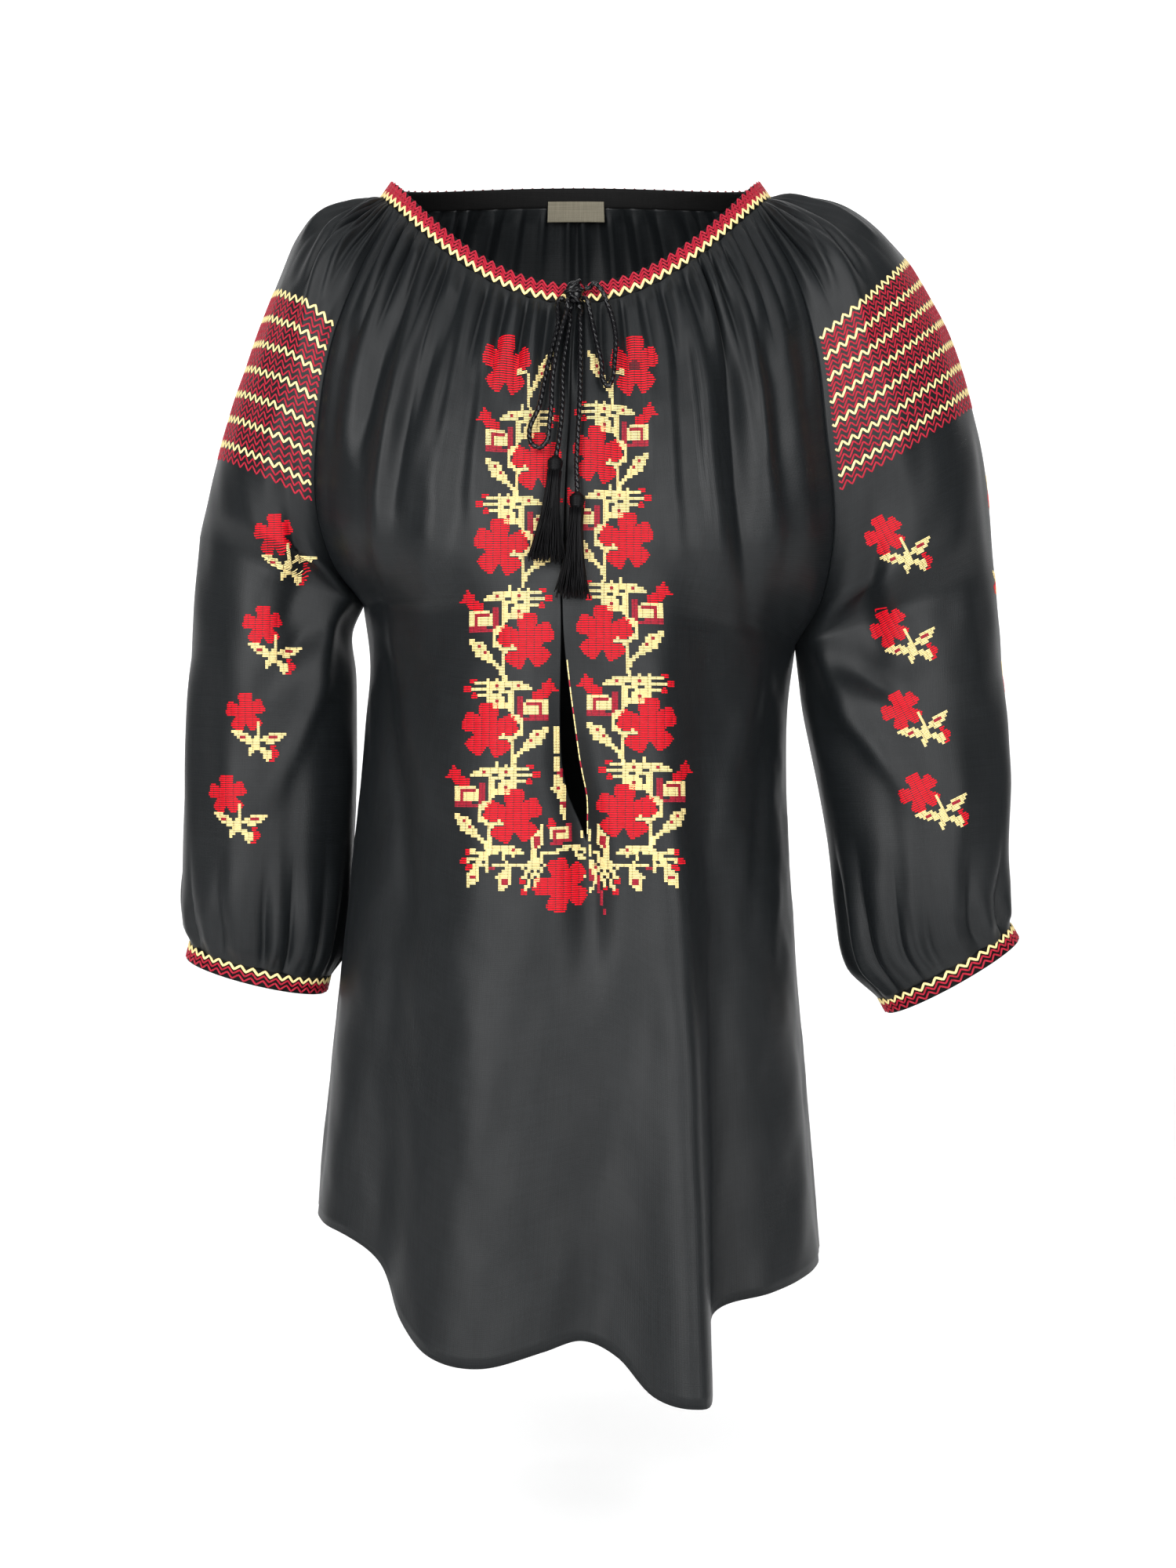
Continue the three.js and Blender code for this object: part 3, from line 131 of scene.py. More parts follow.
# Hanging folds: where each lies round the hem, the width of its flanks, its depth and the s it starts at.
BODY_FOLDS = table("deg left_deg right_deg depth start", [
    (-66, 9, 8, 6, 1.15), (-49, 7, 7, -9, 1.1), (-24, 14, 15, 9, 0.95), (3, 8, 8, -8, 1.2),
    (23.5, 8.5, 6, 34, 0.9), (37, 5, 9, -15, 0.95), (63, 11, 10, 6, 1.1), (112, 9, 10, -8, 1.05),
    (132, 10, 8, 14, 0.95), (153, 8, 9, -9, 1.05), (176, 10, 12, 11, 0.9), (-158, 9, 9, -8, 1.1),
    (-136, 9, 11, 13, 0.95), (-113, 9, 9, -8, 1.1),
])
SHOULDERS = {
    "left": table("v x y z", [
        (0, -122.5, 0, -6), (0.1, -142, 1, -10), (0.2, -162, 2, -15), (0.3, -176, 3, -31),
        (0.4, -187, 3, -57), (0.6, -208, 4, -112), (0.8, -225, 4, -165), (1, -237, 2, -219),
    ]),
    "right": table("v x y z", [
        (0, 124.5, 0, -6), (0.1, 148, 1, -8), (0.2, 173, 2, -13), (0.3, 197, 3, -29),
        (0.4, 217, 3, -53), (0.6, 242, 4, -102), (0.8, 259, 3, -164), (1, 267, 0, -242),
    ]),
}
SLEEVE_DEPTH = table("v half", [(0, 38), (0.2, 65), (0.4, 75), (0.6, 76), (0.8, 69), (1, 58)])
# Rings of each sleeve below the underarm (w 0) to the cuff (w 1).
SLEEVE_RINGS = {
    "left": table("w out_x out_z in_x in_z half mid_y tip_deg", [
        (0, -237, -219, -134, -264, 58, 1, 0), (0.13, -241, -258, -142, -283, 57, 5, 1),
        (0.28, -244, -298, -140, -308, 57, 9, 2), (0.42, -246.5, -338, -140, -342, 56, 13, 2),
        (0.56, -249, -378, -140.5, -380, 55, 16, 3), (0.7, -251, -418, -143, -422, 53, 18, 4),
        (0.83, -252, -450, -146.5, -460, 49, 18, 5), (0.93, -249, -469, -151, -485, 42, 17, 6),
        (1, -245.5, -479, -158, -501, 36, 16, 6),
    ]),
    "right": table("w out_x out_z in_x in_z half mid_y tip_deg", [
        (0, 267, -242, 141, -290, 58, 0, 0), (0.13, 270, -273, 143.5, -311, 57, 1, 1),
        (0.28, 273, -309, 146, -331, 57, 1, 1), (0.42, 275.5, -343, 151, -356, 56, 0, 2),
        (0.56, 277, -380, 157, -386, 55, -2, 2), (0.7, 275.5, -417, 163.5, -424, 53, -4, 2),
        (0.83, 274, -444, 169.5, -461, 49, -6, 3), (0.93, 274.5, -458, 177, -492, 42, -8, 3),
        (1, 275.5, -467, 194, -513, 36, -9, 3),
    ]),
}
CREASE_COLUMNS = "across0 down0 across1 down1 half depth"
# The main creases, in millimetres across from a panel's middle and down from the neckband.
CREASES = {
    "front": table(CREASE_COLUMNS, [
        (-112, 12, -148, 130, 8, -6), (-96, 12, -134, 190, 9, 6), (-80, 16, -118, 150, 7, -5),
        (-62, 10, -92, 200, 11, 4), (74, 14, 96, 190, 9, 6), (92, 20, 118, 200, 8, -8),
        (108, 12, 138, 170, 8, 5),
    ]),
    "back": table(CREASE_COLUMNS, [
        (-100, 14, -136, 180, 9, 5), (-78, 14, -108, 170, 9, -5), (76, 16, 104, 190, 9, -5),
        (98, 12, 138, 160, 9, 5),
    ]),
    "sleeve": table(CREASE_COLUMNS, [
        (96, 14, 128, 120, 9, 5), (60, 14, 84, 90, 9, -4), (140, 150, 96, 300, 12, -7),
        (150, 215, 110, 330, 9, 6), (-96, 14, -126, 130, 9, 5), (-140, 160, -100, 310, 12, -6),
        (20, 300, 36, 430, 11, 4), (-44, 310, -30, 430, 11, -4),
    ]),
}
# Smaller creases that only the shown cloth has.
FINE_CREASES = {
    "front": table(CREASE_COLUMNS, [
        (-104, 10, -128, 90, 3.2, -2.2), (-88, 10, -104, 120, 3, 2), (-70, 8, -84, 110, 3, -2),
        (-50, 8, -60, 150, 4, 1.8), (-36, 8, -44, 120, 3.5, -1.5), (-22, 8, -28, 90, 3, 1.2),
        (24, 8, 30, 90, 3, 1.2), (38, 8, 48, 130, 3.5, -1.6), (54, 10, 68, 170, 4, 1.8),
        (66, 10, 84, 150, 3, -2), (84, 10, 106, 130, 3.4, 2.2), (100, 10, 124, 120, 3, -2.4),
        (-140, 170, -96, 330, 11, 3.5), (-146, 215, -112, 400, 9, -3), (138, 190, 92, 350, 11, 3.5),
        (144, 235, 118, 420, 9, -3), (-60, 260, -70, 560, 16, 2.5), (58, 250, 82, 520, 15, -2.5),
    ]),
    "back": table(CREASE_COLUMNS, [
        (-88, 10, -112, 110, 3.2, 2), (-60, 10, -72, 140, 4, -1.8), (-34, 10, -40, 120, 3.5, 1.6),
        (30, 10, 38, 130, 3.5, -1.6), (56, 10, 70, 150, 4, 1.8), (90, 10, 116, 120, 3.2, -2),
        (-136, 190, -90, 350, 11, 3), (140, 200, 96, 360, 11, 3), (-30, 230, -40, 520, 15, 2.5),
        (46, 240, 60, 560, 15, -2.5),
    ]),
    "sleeve": table(CREASE_COLUMNS, [
        (110, 12, 134, 80, 4, 2.5), (84, 12, 104, 84, 4, -2.5), (40, 12, 52, 70, 4, 1.8),
        (-30, 12, -36, 74, 4, -1.8), (-70, 12, -86, 84, 4, 2.2), (-108, 12, -130, 84, 4, -2.4),
        (132, 190, 84, 250, 6, 3.5), (136, 255, 78, 320, 6, -3.5), (126, 300, 84, 380, 6, 3),
        (-132, 200, -90, 262, 6, 3), (-134, 262, -84, 330, 6, -3), (60, 330, 66, 440, 8, 2),
        (-6, 330, 4, 452, 8, -2), (-76, 340, -70, 450, 8, 2), (104, 350, 98, 448, 7, -2),
    ]),
}
# The tied neck cord: how each stretch leaves the knot (degrees round it and forwards), then its route by x
# and z as seen from the front, and how far it stands off the cloth.
CORD_EXITS = {
    "cord_loop_left": [(205, 0), (235, 45)],
    "cord_loop_right": [(15, 0), (330, 25)],
    "cord_tail_left": [(257, 0)],
    "cord_tail_right": [(294, 0)],
}
CORDS = {
    "cord_loop_left": table("x z stand", [
        (-9, -104, 7), (-13, -121, 7), (-16.5, -137, 7), (-20, -155, 7), (-25.5, -169, 7),
        (-24.5, -177.5, 7.5), (-19.5, -180.5, 8.5), (-15, -176, 9.5), (-13.8, -166, 10.5),
        (-12.6, -154, 11.5), (-12, -138, 12), (-9.5, -121, 12.5), (-6, -105, 12), (-3.4, -95, 10),
    ]),
    "cord_loop_right": table("x z stand", [
        (12.5, -78.5, 6.5), (17.5, -83, 6.5), (21, -91.5, 6.5), (24.2, -102, 6.5), (25.6, -113, 7),
        (24.8, -126, 7), (23.6, -137, 7), (20.8, -142.5, 7), (17.6, -138, 7), (17, -129, 7),
        (15, -119, 7), (12.6, -108, 7), (10.4, -97, 7),
    ]),
    "cord_tail_left": table("x z stand", [
        (-1.9, -99.5, 6.5), (-2.4, -106, 6.5), (-3.6, -113.5, 6.8), (-4.8, -121, 7), (-5.7, -129, 7),
        (-6.2, -137, 7), (-6.1, -143.5, 7), (-6.1, -150, 7), (-6.5, -157.5, 7.2), (-7, -165, 7.5),
        (-7.7, -171, 8), (-8.4, -177, 8.5), (-9.6, -184.5, 9),
    ]),
    "cord_tail_right": table("x z stand", [
        (4.3, -100, 6.9), (4.5, -108, 7), (4.4, -116.5, 7), (4.4, -125, 7), (4.4, -133, 7), (4.3, -141, 7),
        (4.2, -149, 7), (3.8, -157, 7), (3.4, -165, 7), (3, -173, 7), (2.6, -181, 7), (2.3, -189, 7),
        (2.4, -197, 7.1), (2.7, -206, 7.5),
    ]),
}
# Each tassel: top of the head, ends of the strands (x, z, stand), and how wide and deep the strands spread.
TASSELS = {
    "tassel_left": ((-9.9, -185.2, 9), (-15.5, -249, 10), 11, 5.5),
    "tassel_right": ((2.9, -206.8, 7.7), (-0.5, -270, 8.5), 10.5, 5.5),
}


# ---------- Small helpers ----------
def mix(a, b, k):
    """From a at k = 0 to b at k = 1, in a straight line."""
    return a + (b - a) * k


def rise(x, a, b):
    """A smooth step from 0 at a to 1 at b: three times the square less twice the cube."""
    k = np.clip((x - a) / (b - a), 0, 1)
    return k * k * (3 - 2 * k)


def stacked(*parts):
    """Coordinates of any shapes that fit together, as points along a new last axis."""
    return np.stack(np.broadcast_arrays(*parts), axis=-1)


def unit(vectors):
    """Vectors divided by their own lengths."""
    return vectors / np.maximum(np.linalg.norm(vectors, axis=-1, keepdims=True), 1e-9)


def col(values):
    """Values with an axis more, to weigh points."""
    return np.asarray(values)[..., None]


def through(rows, at, key):
    """A smooth curve through a table: cubic pieces whose slope at each row is that between its neighbours."""
    x, y = rows[at], rows[key]
    index = np.arange(len(x))
    before, after = np.maximum(index - 1, 0), np.minimum(index + 1, len(x) - 1)
    slope = (y[after] - y[before]) / (x[after] - x[before])

    def curve(value):
        c = np.clip(value, x[0], x[-1])
        i = np.searchsorted(x[1:-1], c, side="left")
        h = x[i + 1] - x[i]
        k = (c - x[i]) / h
        k2, k3 = k * k, k * k * k
        ends = y[i] * (2 * k3 - 3 * k2 + 1) + y[i + 1] * (3 * k2 - 2 * k3)
        return ends + h * (slope[i] * (k3 - 2 * k2 + k) + slope[i + 1] * (k3 - k2))

    return curve


def through_points(rows, at):
    """The same curve for x, y and z at once."""
    curves = [through(rows, at, key) for key in "xyz"]
    return lambda t: stacked(*(curve(t) for curve in curves))


def run_along(line):
    """How far along a line of points each of them lies: the running sum of the steps between them."""
    return np.concatenate([[0], np.cumsum(np.linalg.norm(np.diff(line, axis=0), axis=1))])


# ---------- Neck edge ----------
def neck_ring(deg):
    """The neckband's foot: an oval that drops in front with a power of the cosine and rises behind."""
    a = np.radians(deg)
    c = np.cos(a)
    depth = np.where(c > 0, NECK_FRONT, NECK_BACK)
    drop = -NECK_FRONT_DROP * np.maximum(c, 0) ** NECK_FRONT_POWER
    lift = np.where(c > 0, drop, NECK_BACK_RISE * c * c)
    return stacked(NECK_X + NECK_HALF_WIDTH * np.sin(a), -depth * c, NECK_SIDE_Z + lift)


def band_up(deg):
    """The band's upward direction, which leans in towards the neck."""
    a = np.radians(deg)
    c = np.cos(a)
    lean = 0.75 - np.abs(c) * np.where(c > 0, 0.43, 0.5)
    return unit(stacked(-lean * np.sin(a), lean * c, np.ones_like(c)))


def neck_edge(deg):
    """The gathered cloth's top edge, tucked a little way up into the band."""
    return neck_ring(deg) + band_up(deg) * TUCK


def fit_to_neck(points, top, deg, s):
    """Moves the rows near the neck so that the top row lies on the neck edge, fading with a square."""
    fade = np.where(s >= NECK_BLEND, 0, (1 - s / NECK_BLEND) ** 2)
    return points + (neck_edge(deg) - top) * col(fade)


# ---------- Body surface ----------
seam = {name: through_points(rows, "v") for name, rows in SEAMS.items()}
centre = {face: through_points(rows, "s") for face, rows in CENTRES.items()}
arc_deg = through(ROW_ARC, "s", "deg")
arc_power = through(ROW_ARC, "s", "power")
side_x = {side: through(SIDES, "s", side) for side in SIGN}
hem_z = through(HEM, "deg", "z")


def inward_share(turn, end):
    """The share of the way from a row's end (0) to its middle (1)."""
    return (np.cos(turn) - np.cos(end)) / (1 - np.cos(end))


def body_raw(face, u, s):
    """A row is an arc of an ellipse from seam to seam. Below the underarm it closes round the body's side."""
    front = face == "front"
    u, s = np.broadcast_arrays(np.asarray(u, float), np.asarray(s, float))
    across = (1 if front else -1) * (2 * u - 1)
    left = across < 0
    end = np.radians(arc_deg(s))
    turn = across * end
    middle = centre[face](s)
    inward = inward_share(turn, end)
    outward = np.sin(np.abs(turn)) / np.sin(end)
    side = np.where(col(left), seam[face + "_left"](s), seam[face + "_right"](s))
    above = stacked(
        middle[..., 0] + outward * (side[..., 0] - middle[..., 0]),
        mix(side[..., 1], middle[..., 1], inward),
        mix(side[..., 2], middle[..., 2], np.maximum(inward, 0) ** arc_power(s)),
    )
    edge = np.where(left, side_x["left"](s), side_x["right"](s))
    around = across * 90 if front else np.where(left, -180, 180) - across * 90
    last = np.radians(arc_deg(1.0))
    seam_z = np.where(left, seam[face + "_left"](1.0)[2], seam[face + "_right"](1.0)[2])
    underarm = mix(seam_z, centre[face](1.0)[2], inward_share(np.abs(across) * last, last))
    below = stacked(
        middle[..., 0] + outward * (edge - middle[..., 0]),
        middle[..., 1] * inward,
        mix(underarm, hem_z(around), s - 1),
    )
    return np.where(col(s <= 1), above, below)


def body_base(face, u, s):
    """A body panel's smooth surface, with its top row on the neck edge between its two seams."""
    ends = (-SEAM_FRONT_DEG, SEAM_FRONT_DEG) if face == "front" else (SEAM_BACK_DEG, 360 - SEAM_BACK_DEG)
    return fit_to_neck(body_raw(face, u, s), body_raw(face, u, 0.0 * u), mix(*ends, u), s)


# ---------- Sleeve surface ----------
shoulder = {side: through_points(rows, "v") for side, rows in SHOULDERS.items()}
sleeve_half = through(SLEEVE_DEPTH, "v", "half")
SEAM_ENDS = {"left": ("back_left", "front_left"), "right": ("front_right", "back_right")}


def ring_frame(side, w):
    """A ring's middle, its outward axis and its front-to-back axis, each as long as the ring's half size."""
    r = {key: through(SLEEVE_RINGS[side], "w", key)(w) for key in SLEEVE_RINGS[side] if key != "w"}
    outer = stacked(r["out_x"], r["mid_y"], r["out_z"])
    inner = stacked(r["in_x"], r["mid_y"], r["in_z"])
    middle = (outer + inner) / 2
    tip = np.radians(r["tip_deg"])
    across = stacked(np.zeros_like(tip), np.cos(tip), np.sin(tip)) * col(SIGN[side] * r["half"])
    return middle, outer - middle, across


def sleeve_raw(side, u, s):
    """A row is an arc of an ellipse over the shoulder, and a closed ring below the underarm."""
    u, s = np.broadcast_arrays(np.asarray(u, float), np.asarray(s, float))
    most = np.radians(mix(158, 180, rise(s, 1, 1.35)))
    swing = 2 * u - 1
    middle, outward, across = ring_frame(side, s - 1)
    reach = 2 / (1 - np.cos(most))
    turn = swing * most
    ring = middle + outward * col(1 - reach + reach * np.cos(turn))
    ring = ring + across * col(np.sin(turn) - swing * np.sin(most))
    first, last = (seam[name](s) for name in SEAM_ENDS[side])
    half = np.linalg.norm(last - first, axis=-1) / 2
    level = np.array([0, SIGN[side], 0])
    across = np.where(col(half > 1e-6), unit(last - first), level)
    depth = np.maximum(sleeve_half(s), half * 1.001)
    end = np.minimum(np.pi - np.arcsin(half / depth), most)
    middle = (first + last) / 2
    reach = 1 / (1 - np.cos(end))
    turn = swing * end
    arc = middle + (shoulder[side](s) - middle) * col(1 - reach + reach * np.cos(turn))
    arc = arc + across * col(depth * np.sin(turn) + swing * (half - depth * np.sin(end)))
    return np.where(col(s > 1), ring, arc)


def sleeve_base(side, u, s):
    """A sleeve's smooth surface, with its top row on the neck edge between its two seams."""
    a, b = SEAM_FRONT_DEG, SEAM_BACK_DEG
    deg = mix(a, b, u) if side == "right" else mix(-b, -a, u)
    return fit_to_neck(sleeve_raw(side, u, s), sleeve_raw(side, u, 0.0 * u), deg, s)


def cuff_down(side):
    """The direction that a cuff's own plane faces, down the arm."""
    _, outward, across = ring_frame(side, np.array([1.0]))
    down = unit(np.cross(outward[0], across[0]))
    return -down if down[2] > 0 else down


# ---------- Gathers, folds and creases ----------
def unevenness(q):
    """How far a place strays from the even spacing: three sines across the panel."""
    turn = 2 * np.pi * q
    return 0.01 * np.sin(3 * turn) + 0.005 * np.sin(7 * turn) + 0.002 * np.sin(11 * turn)


def even_again(u):
    """The even place q whose uneven place is u, by repeated correction."""
    q = u
    for _ in range(12):
        q = u - unevenness(q)
    return q


def seam_fade(u):
    """0 on both of a panel's seams and 1 a little inside them."""
    return rise(u, 0, 0.05) * rise(1 - u, 0, 0.05)


def gather_depth(s):
    """Small at the band, deepest just under it and gone at the bust."""
    grow = mix(GATHER_EDGE, GATHER_PEAK, rise(s, 0, 0.06))
    return grow * (1 - rise(s, 0.08, GATHER_FADE)) ** 1.2


def gather_wave(q, count):
    """Round crests parted by narrow valleys, of a height that drifts along the band."""
    return (2 * np.abs(np.cos(np.pi * count * q)) ** 0.8 - 1) * (1 + 0.35 * np.sin(17 * q + 1))


def small_gathers(q, count, s, fade):
    """Finer pleats between the gathers: two waves whose strength drifts along the band, gone at s = fade."""
    drift = 0.6 + 0.4 * np.sin(11 * q + 2) * np.sin(5 * q)
    fine = np.cos(2 * np.pi * (2 * count + 3) * q + 1.5 * np.sin(9 * q))
    fine = fine + 0.6 * np.cos(2 * np.pi * 3.3 * count * q)
    return 0.8 * drift * fine * rise(s, 0, 0.03) * (1 - rise(s, 0.05, fade))


def long_gathers(q, count, s):
    """Broad soft folds that the gathers run out into, as far as the bust."""
    wave = np.cos(2 * np.pi * 0.45 * count * q + 0.8) + 0.5 * np.cos(2 * np.pi * 0.31 * count * q)
    return 1.1 * wave * rise(s, 0.1, 0.35) * (1 - rise(s, 0.45, 1.05))


def crease_depth(rows, across, down):
    """Each crease is a soft trough or ridge along a line: a bell across it and a half sine along it."""
    total = np.zeros(np.broadcast(across, down).shape)
    for a0, d0, a1, d1, half, depth in zip(*rows.values()):
        run = np.array([a1 - a0, d1 - d0])
        long = np.hypot(*run)
        along = ((across - a0) * run[0] + (down - d0) * run[1]) / long**2
        off = ((across - a0) * run[1] - (down - d0) * run[0]) / long / half
        total += depth * np.sin(np.pi * np.clip(along, 0, 1)) ** 0.8 * np.exp(-off * off)
    return total


def body_fold_depth(deg, s):
    """Each hanging fold is a bell round the body, a width for each flank, and deepens towards the hem."""
    total = np.zeros(np.broadcast(deg, s).shape)
    for at, left, right, depth, start in zip(*BODY_FOLDS.values()):
        off = (deg - at + 180) % 360 - 180
        grow = np.clip((s - start) / (2 - start), 0, 1) ** 1.15
        total += depth * grow * np.exp(-((off / np.where(off < 0, left, right)) ** 2))
    return total


def ripples(across, down, seed):
    """The cloth's slight unevenness: long waves of seeded slant, length and phase, added up."""
    rng = np.random.default_rng(seed)
    total = np.zeros(np.broadcast(across, down).shape)
    slants = rng.normal(0, 0.5, RIPPLES)
    shares, phases = rng.uniform(0.45, 1.7, RIPPLES), rng.uniform(0, 6.3, RIPPLES)
    for slant, share, phase in zip(slants, shares, phases):
        along = across * np.cos(slant) + down * np.sin(slant)
        total += share * np.sin(2 * np.pi * along / (RIPPLE_WAVE * share) + phase + 0.01 * down)
    return RIPPLE_DEPTH * total / np.sqrt(RIPPLES)


def slit_half(s):
    """How far the slit gapes on each side of its middle line."""
    gape = rise(s, SLIT_FROM, SLIT_WIDEST) * (1 - rise(s, SLIT_WIDEST, SLIT_END))
    return np.where(s < SLIT_END, SLIT_TOP_HALF + (SLIT_OPEN_HALF - SLIT_TOP_HALF) * gape, 0)


def curl_depth(s):
    """How deep the slit's lips roll in: it grows to the widest part of the slit and is gone below its end."""
    return CURL * rise(s, 1.02, 1.22) * (1 - rise(s, 1.27, 1.62))


def body_down(s):
    """Millimetres of cloth down a body panel: straight to the underarm, and straight again to the hem."""
    return np.where(s < 1, BODY_ABOVE * s, BODY_ABOVE + BODY_BELOW * (s - 1))


def sleeve_down(s):
    """Millimetres of cloth down a sleeve, in the same way."""
    return np.where(s < 1, SLEEVE_ABOVE * s, SLEEVE_ABOVE + SLEEVE_BELOW * (s - 1))


def outward_of(base, u, s):
    """The outward direction of a surface, from its own small steps down and across."""
    a = base(np.minimum(u + STEP, 1), s) - base(np.maximum(u - STEP, 0), s)
    d = base(u, np.minimum(s + STEP, 2)) - base(u, np.maximum(s - STEP, 0))
    return unit(np.cross(d, a))


def row_span(face, s):
    """A row's width from seam to seam, as it shows from the front."""
    return np.abs(body_base(face, 1 + 0 * s, s)[..., 0] - body_base(face, 0 * s, s)[..., 0])


def slit_shift(s):
    """The slit's half gape as a share of its row: the gape over the length of the row's arc."""
    end = np.radians(arc_deg(s))
    return slit_half(s) * np.sin(end) / (end * row_span("front", s))


def body_points(face, q, s, half):
    """The shown cloth: the base moved outwards by gathers, creases and curl, and level by hanging folds."""
    shift = slit_shift(s) if face == "front" else 0 * s
    at = 0.5 + (q + unevenness(q) - 0.5) * (1 - 2 * shift) + half * shift
    end = np.radians(arc_deg(s))
    across = (at - 0.5) * row_span(face, s) * (end / np.sin(end))
    down = body_down(s)
    count = GATHERS[face]
    depth = gather_depth(s) * gather_wave(q, count)
    depth = depth + small_gathers(q, count, s, 0.2) + long_gathers(q, count, s)
    depth = depth + crease_depth(CREASES[face], across, down) + crease_depth(FINE_CREASES[face], across, down)
    depth = depth + ripples(across, down, len(face)) * rise(s, 0.05, 0.4)
    depth = depth * seam_fade(at)
    if face == "front":
        depth = depth - curl_depth(s) * np.exp(-((across / CURL_WIDTH) ** 2))
    turn = (2 * at - 1) * np.minimum(arc_deg(s), 90)
    around = np.radians(turn if face == "front" else 180 + turn)
    level = stacked(np.sin(around), -np.cos(around), 0 * around)
    fold = body_fold_depth(np.degrees(around), s) * np.where(s < 1, seam_fade(at), 1)
    points = body_base(face, at, s) + outward_of(lambda a, b: body_base(face, a, b), at, s) * col(depth)
    return points + level * col(fold)


def sleeve_points(side, q, s):
    """The shown cloth: the base moved outwards by the gathers at both ends, the creases and the ripples."""
    u = q + unevenness(q)
    across = (u - 0.5) * -SIGN[side] * SLEEVE_WIDTH
    down = sleeve_down(s)
    top = gather_depth(s) * gather_wave(q, GATHERS["sleeve_top"])
    top = top + small_gathers(q, GATHERS["sleeve_top"] * 2, s, 0.3) * 1.4
    grow = rise(s, 1.62, 1.93) * mix(1, GATHER_EDGE / GATHER_PEAK, rise(s, 1.93, 2))
    cuff = GATHER_PEAK * grow * gather_wave(q, GATHERS["sleeve_cuff"])
    fine = 0.45 * np.cos(2 * np.pi * 31 * q) * rise(s, 1.8, 1.95) * (1 - rise(s, 1.97, 2))
    small = crease_depth(FINE_CREASES["sleeve"], across, down) + ripples(across, down, 40 + SIGN[side])
    depth = top + cuff + fine + crease_depth(CREASES["sleeve"], across, down) + small * seam_fade(u)
    depth = depth * np.where(s > 1.6, 1, seam_fade(u))
    base = lambda a, b: sleeve_base(side, a, b)
    points = base(u, s) + outward_of(base, u, s) * col(depth)
    return points + cuff_down(side) * col((SEAM_GAP + TUCK) * rise(s, 1.96, 2))


def where_seen(base, x, z, u, s):
    """The (u, s) at which a surface shows at (x, z) from the front, by Newton's steps from a first guess."""
    u, s = np.broadcast_arrays(u + 0.0 * x, s + 0.0 * x)
    for _ in range(16):
        here = base(u, s)
        du = (base(u + STEP, s) - here) / STEP
        ds = (base(u, s + STEP) - here) / STEP
        ex, ez = x - here[..., 0], z - here[..., 2]
        det = du[..., 0] * ds[..., 2] - ds[..., 0] * du[..., 2]
        u = np.clip(u + np.clip((ex * ds[..., 2] - ez * ds[..., 0]) / det, -0.15, 0.15), 0.01, 0.99)
        s = np.clip(s + np.clip((ez * du[..., 0] - ex * du[..., 2]) / det, -0.2, 0.2), 0.001, 1.95)
    return u, s


def front_place(x, z):
    """The (u, s) of the front panel that shows at (x, z)."""
    return where_seen(lambda a, b: body_base("front", a, b), x, z, 0.5, 0.8)


CLOTH_TOP_Z = -92  # the highest place in front at which the cloth, and not the band, lies behind the tie


def standing(x, z, stand):
    """A point given from the front, a stand-off before the front's surface behind it."""
    u, s = front_place(x, np.minimum(z, CLOTH_TOP_Z))
    return stacked(x, body_base("front", u, s)[..., 1] - stand, z)


# ---------- Meshes ----------
def piece(name, points, faces, uv, material):
    """A smooth object from points in millimetres and arrays of faces, less the points that none uses."""
    loops = np.concatenate([f.ravel() for f in faces])
    sizes = np.concatenate([np.full(len(f), f.shape[1]) for f in faces])
    used, loops = np.unique(loops, return_inverse=True)
    mesh = bpy.data.meshes.new(name)
    mesh.vertices.add(len(used))
    mesh.vertices.foreach_set("co", (points.reshape(-1, 3)[used] * MM).astype(np.float32).ravel())
    mesh.loops.add(len(loops))
    mesh.loops.foreach_set("vertex_index", loops.astype(np.int32).ravel())
    mesh.polygons.add(len(sizes))
    mesh.polygons.foreach_set("loop_start", (np.cumsum(sizes) - sizes).astype(np.int32))
    mesh.polygons.foreach_set("use_smooth", np.full(len(sizes), True))
    if uv is not None:
        layer = mesh.uv_layers.new(name="cloth")
        layer.uv.foreach_set("vector", uv.reshape(-1, 2)[used][loops.ravel()].astype(np.float32).ravel())
    mesh.update(calc_edges=True)
    mesh.validate()
    made = bpy.data.objects.new(name, mesh)
    bpy.context.scene.collection.objects.link(made)
    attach(made, BODY)
    mesh.materials.append(material)
    return made


def grid_faces(rows, columns, close_rows=False, close_columns=False):
    """Faces of a grid of points numbered row by row, facing out where the columns run left to right."""
    r = np.arange(rows if close_rows else rows - 1)[:, None]
    c = np.arange(columns if close_columns else columns - 1)[None, :]
    r2, c2 = (r + 1) % rows, (c + 1) % columns
    ids = [r * columns + c, r2 * columns + c, r2 * columns + c2, r * columns + c2]
    return np.stack(np.broadcast_arrays(*ids), axis=-1).reshape(-1, 4)


def grid_normals(points):
    """Outward directions of a grid: the cross product of its slopes down and across."""
    across = np.gradient(points, axis=1)
    down = np.gradient(points, axis=0)
    return unit(np.cross(down, across))


def tube(rings, closed=False):
    """Faces round rings of points that turn leftwards seen along the path, with fans over both ends."""
    count, sides = rings.shape[:2]
    points = rings.reshape(-1, 3)
    faces = [grid_faces(count, sides, close_rows=closed, close_columns=True)]
    if not closed:
        ends = np.stack([rings[0].mean(axis=0), rings[-1].mean(axis=0)])
        points = np.concatenate([points, ends])
        k = np.arange(sides)
        m = (k + 1) % sides
        last = (count - 1) * sides
        faces.append(np.stack([k, m, np.full(sides, count * sides)], axis=-1))
        faces.append(np.stack([last + m, last + k, np.full(sides, count * sides + 1)], axis=-1))
    return points, faces


def joined(parts):
    """Several (points, faces) as one."""
    points, faces, first = [], [], 0
    for p, f in parts:
        points.append(p.reshape(-1, 3))
        faces += [a + first for a in f]
        first += len(points[-1])
    return np.concatenate(points), faces


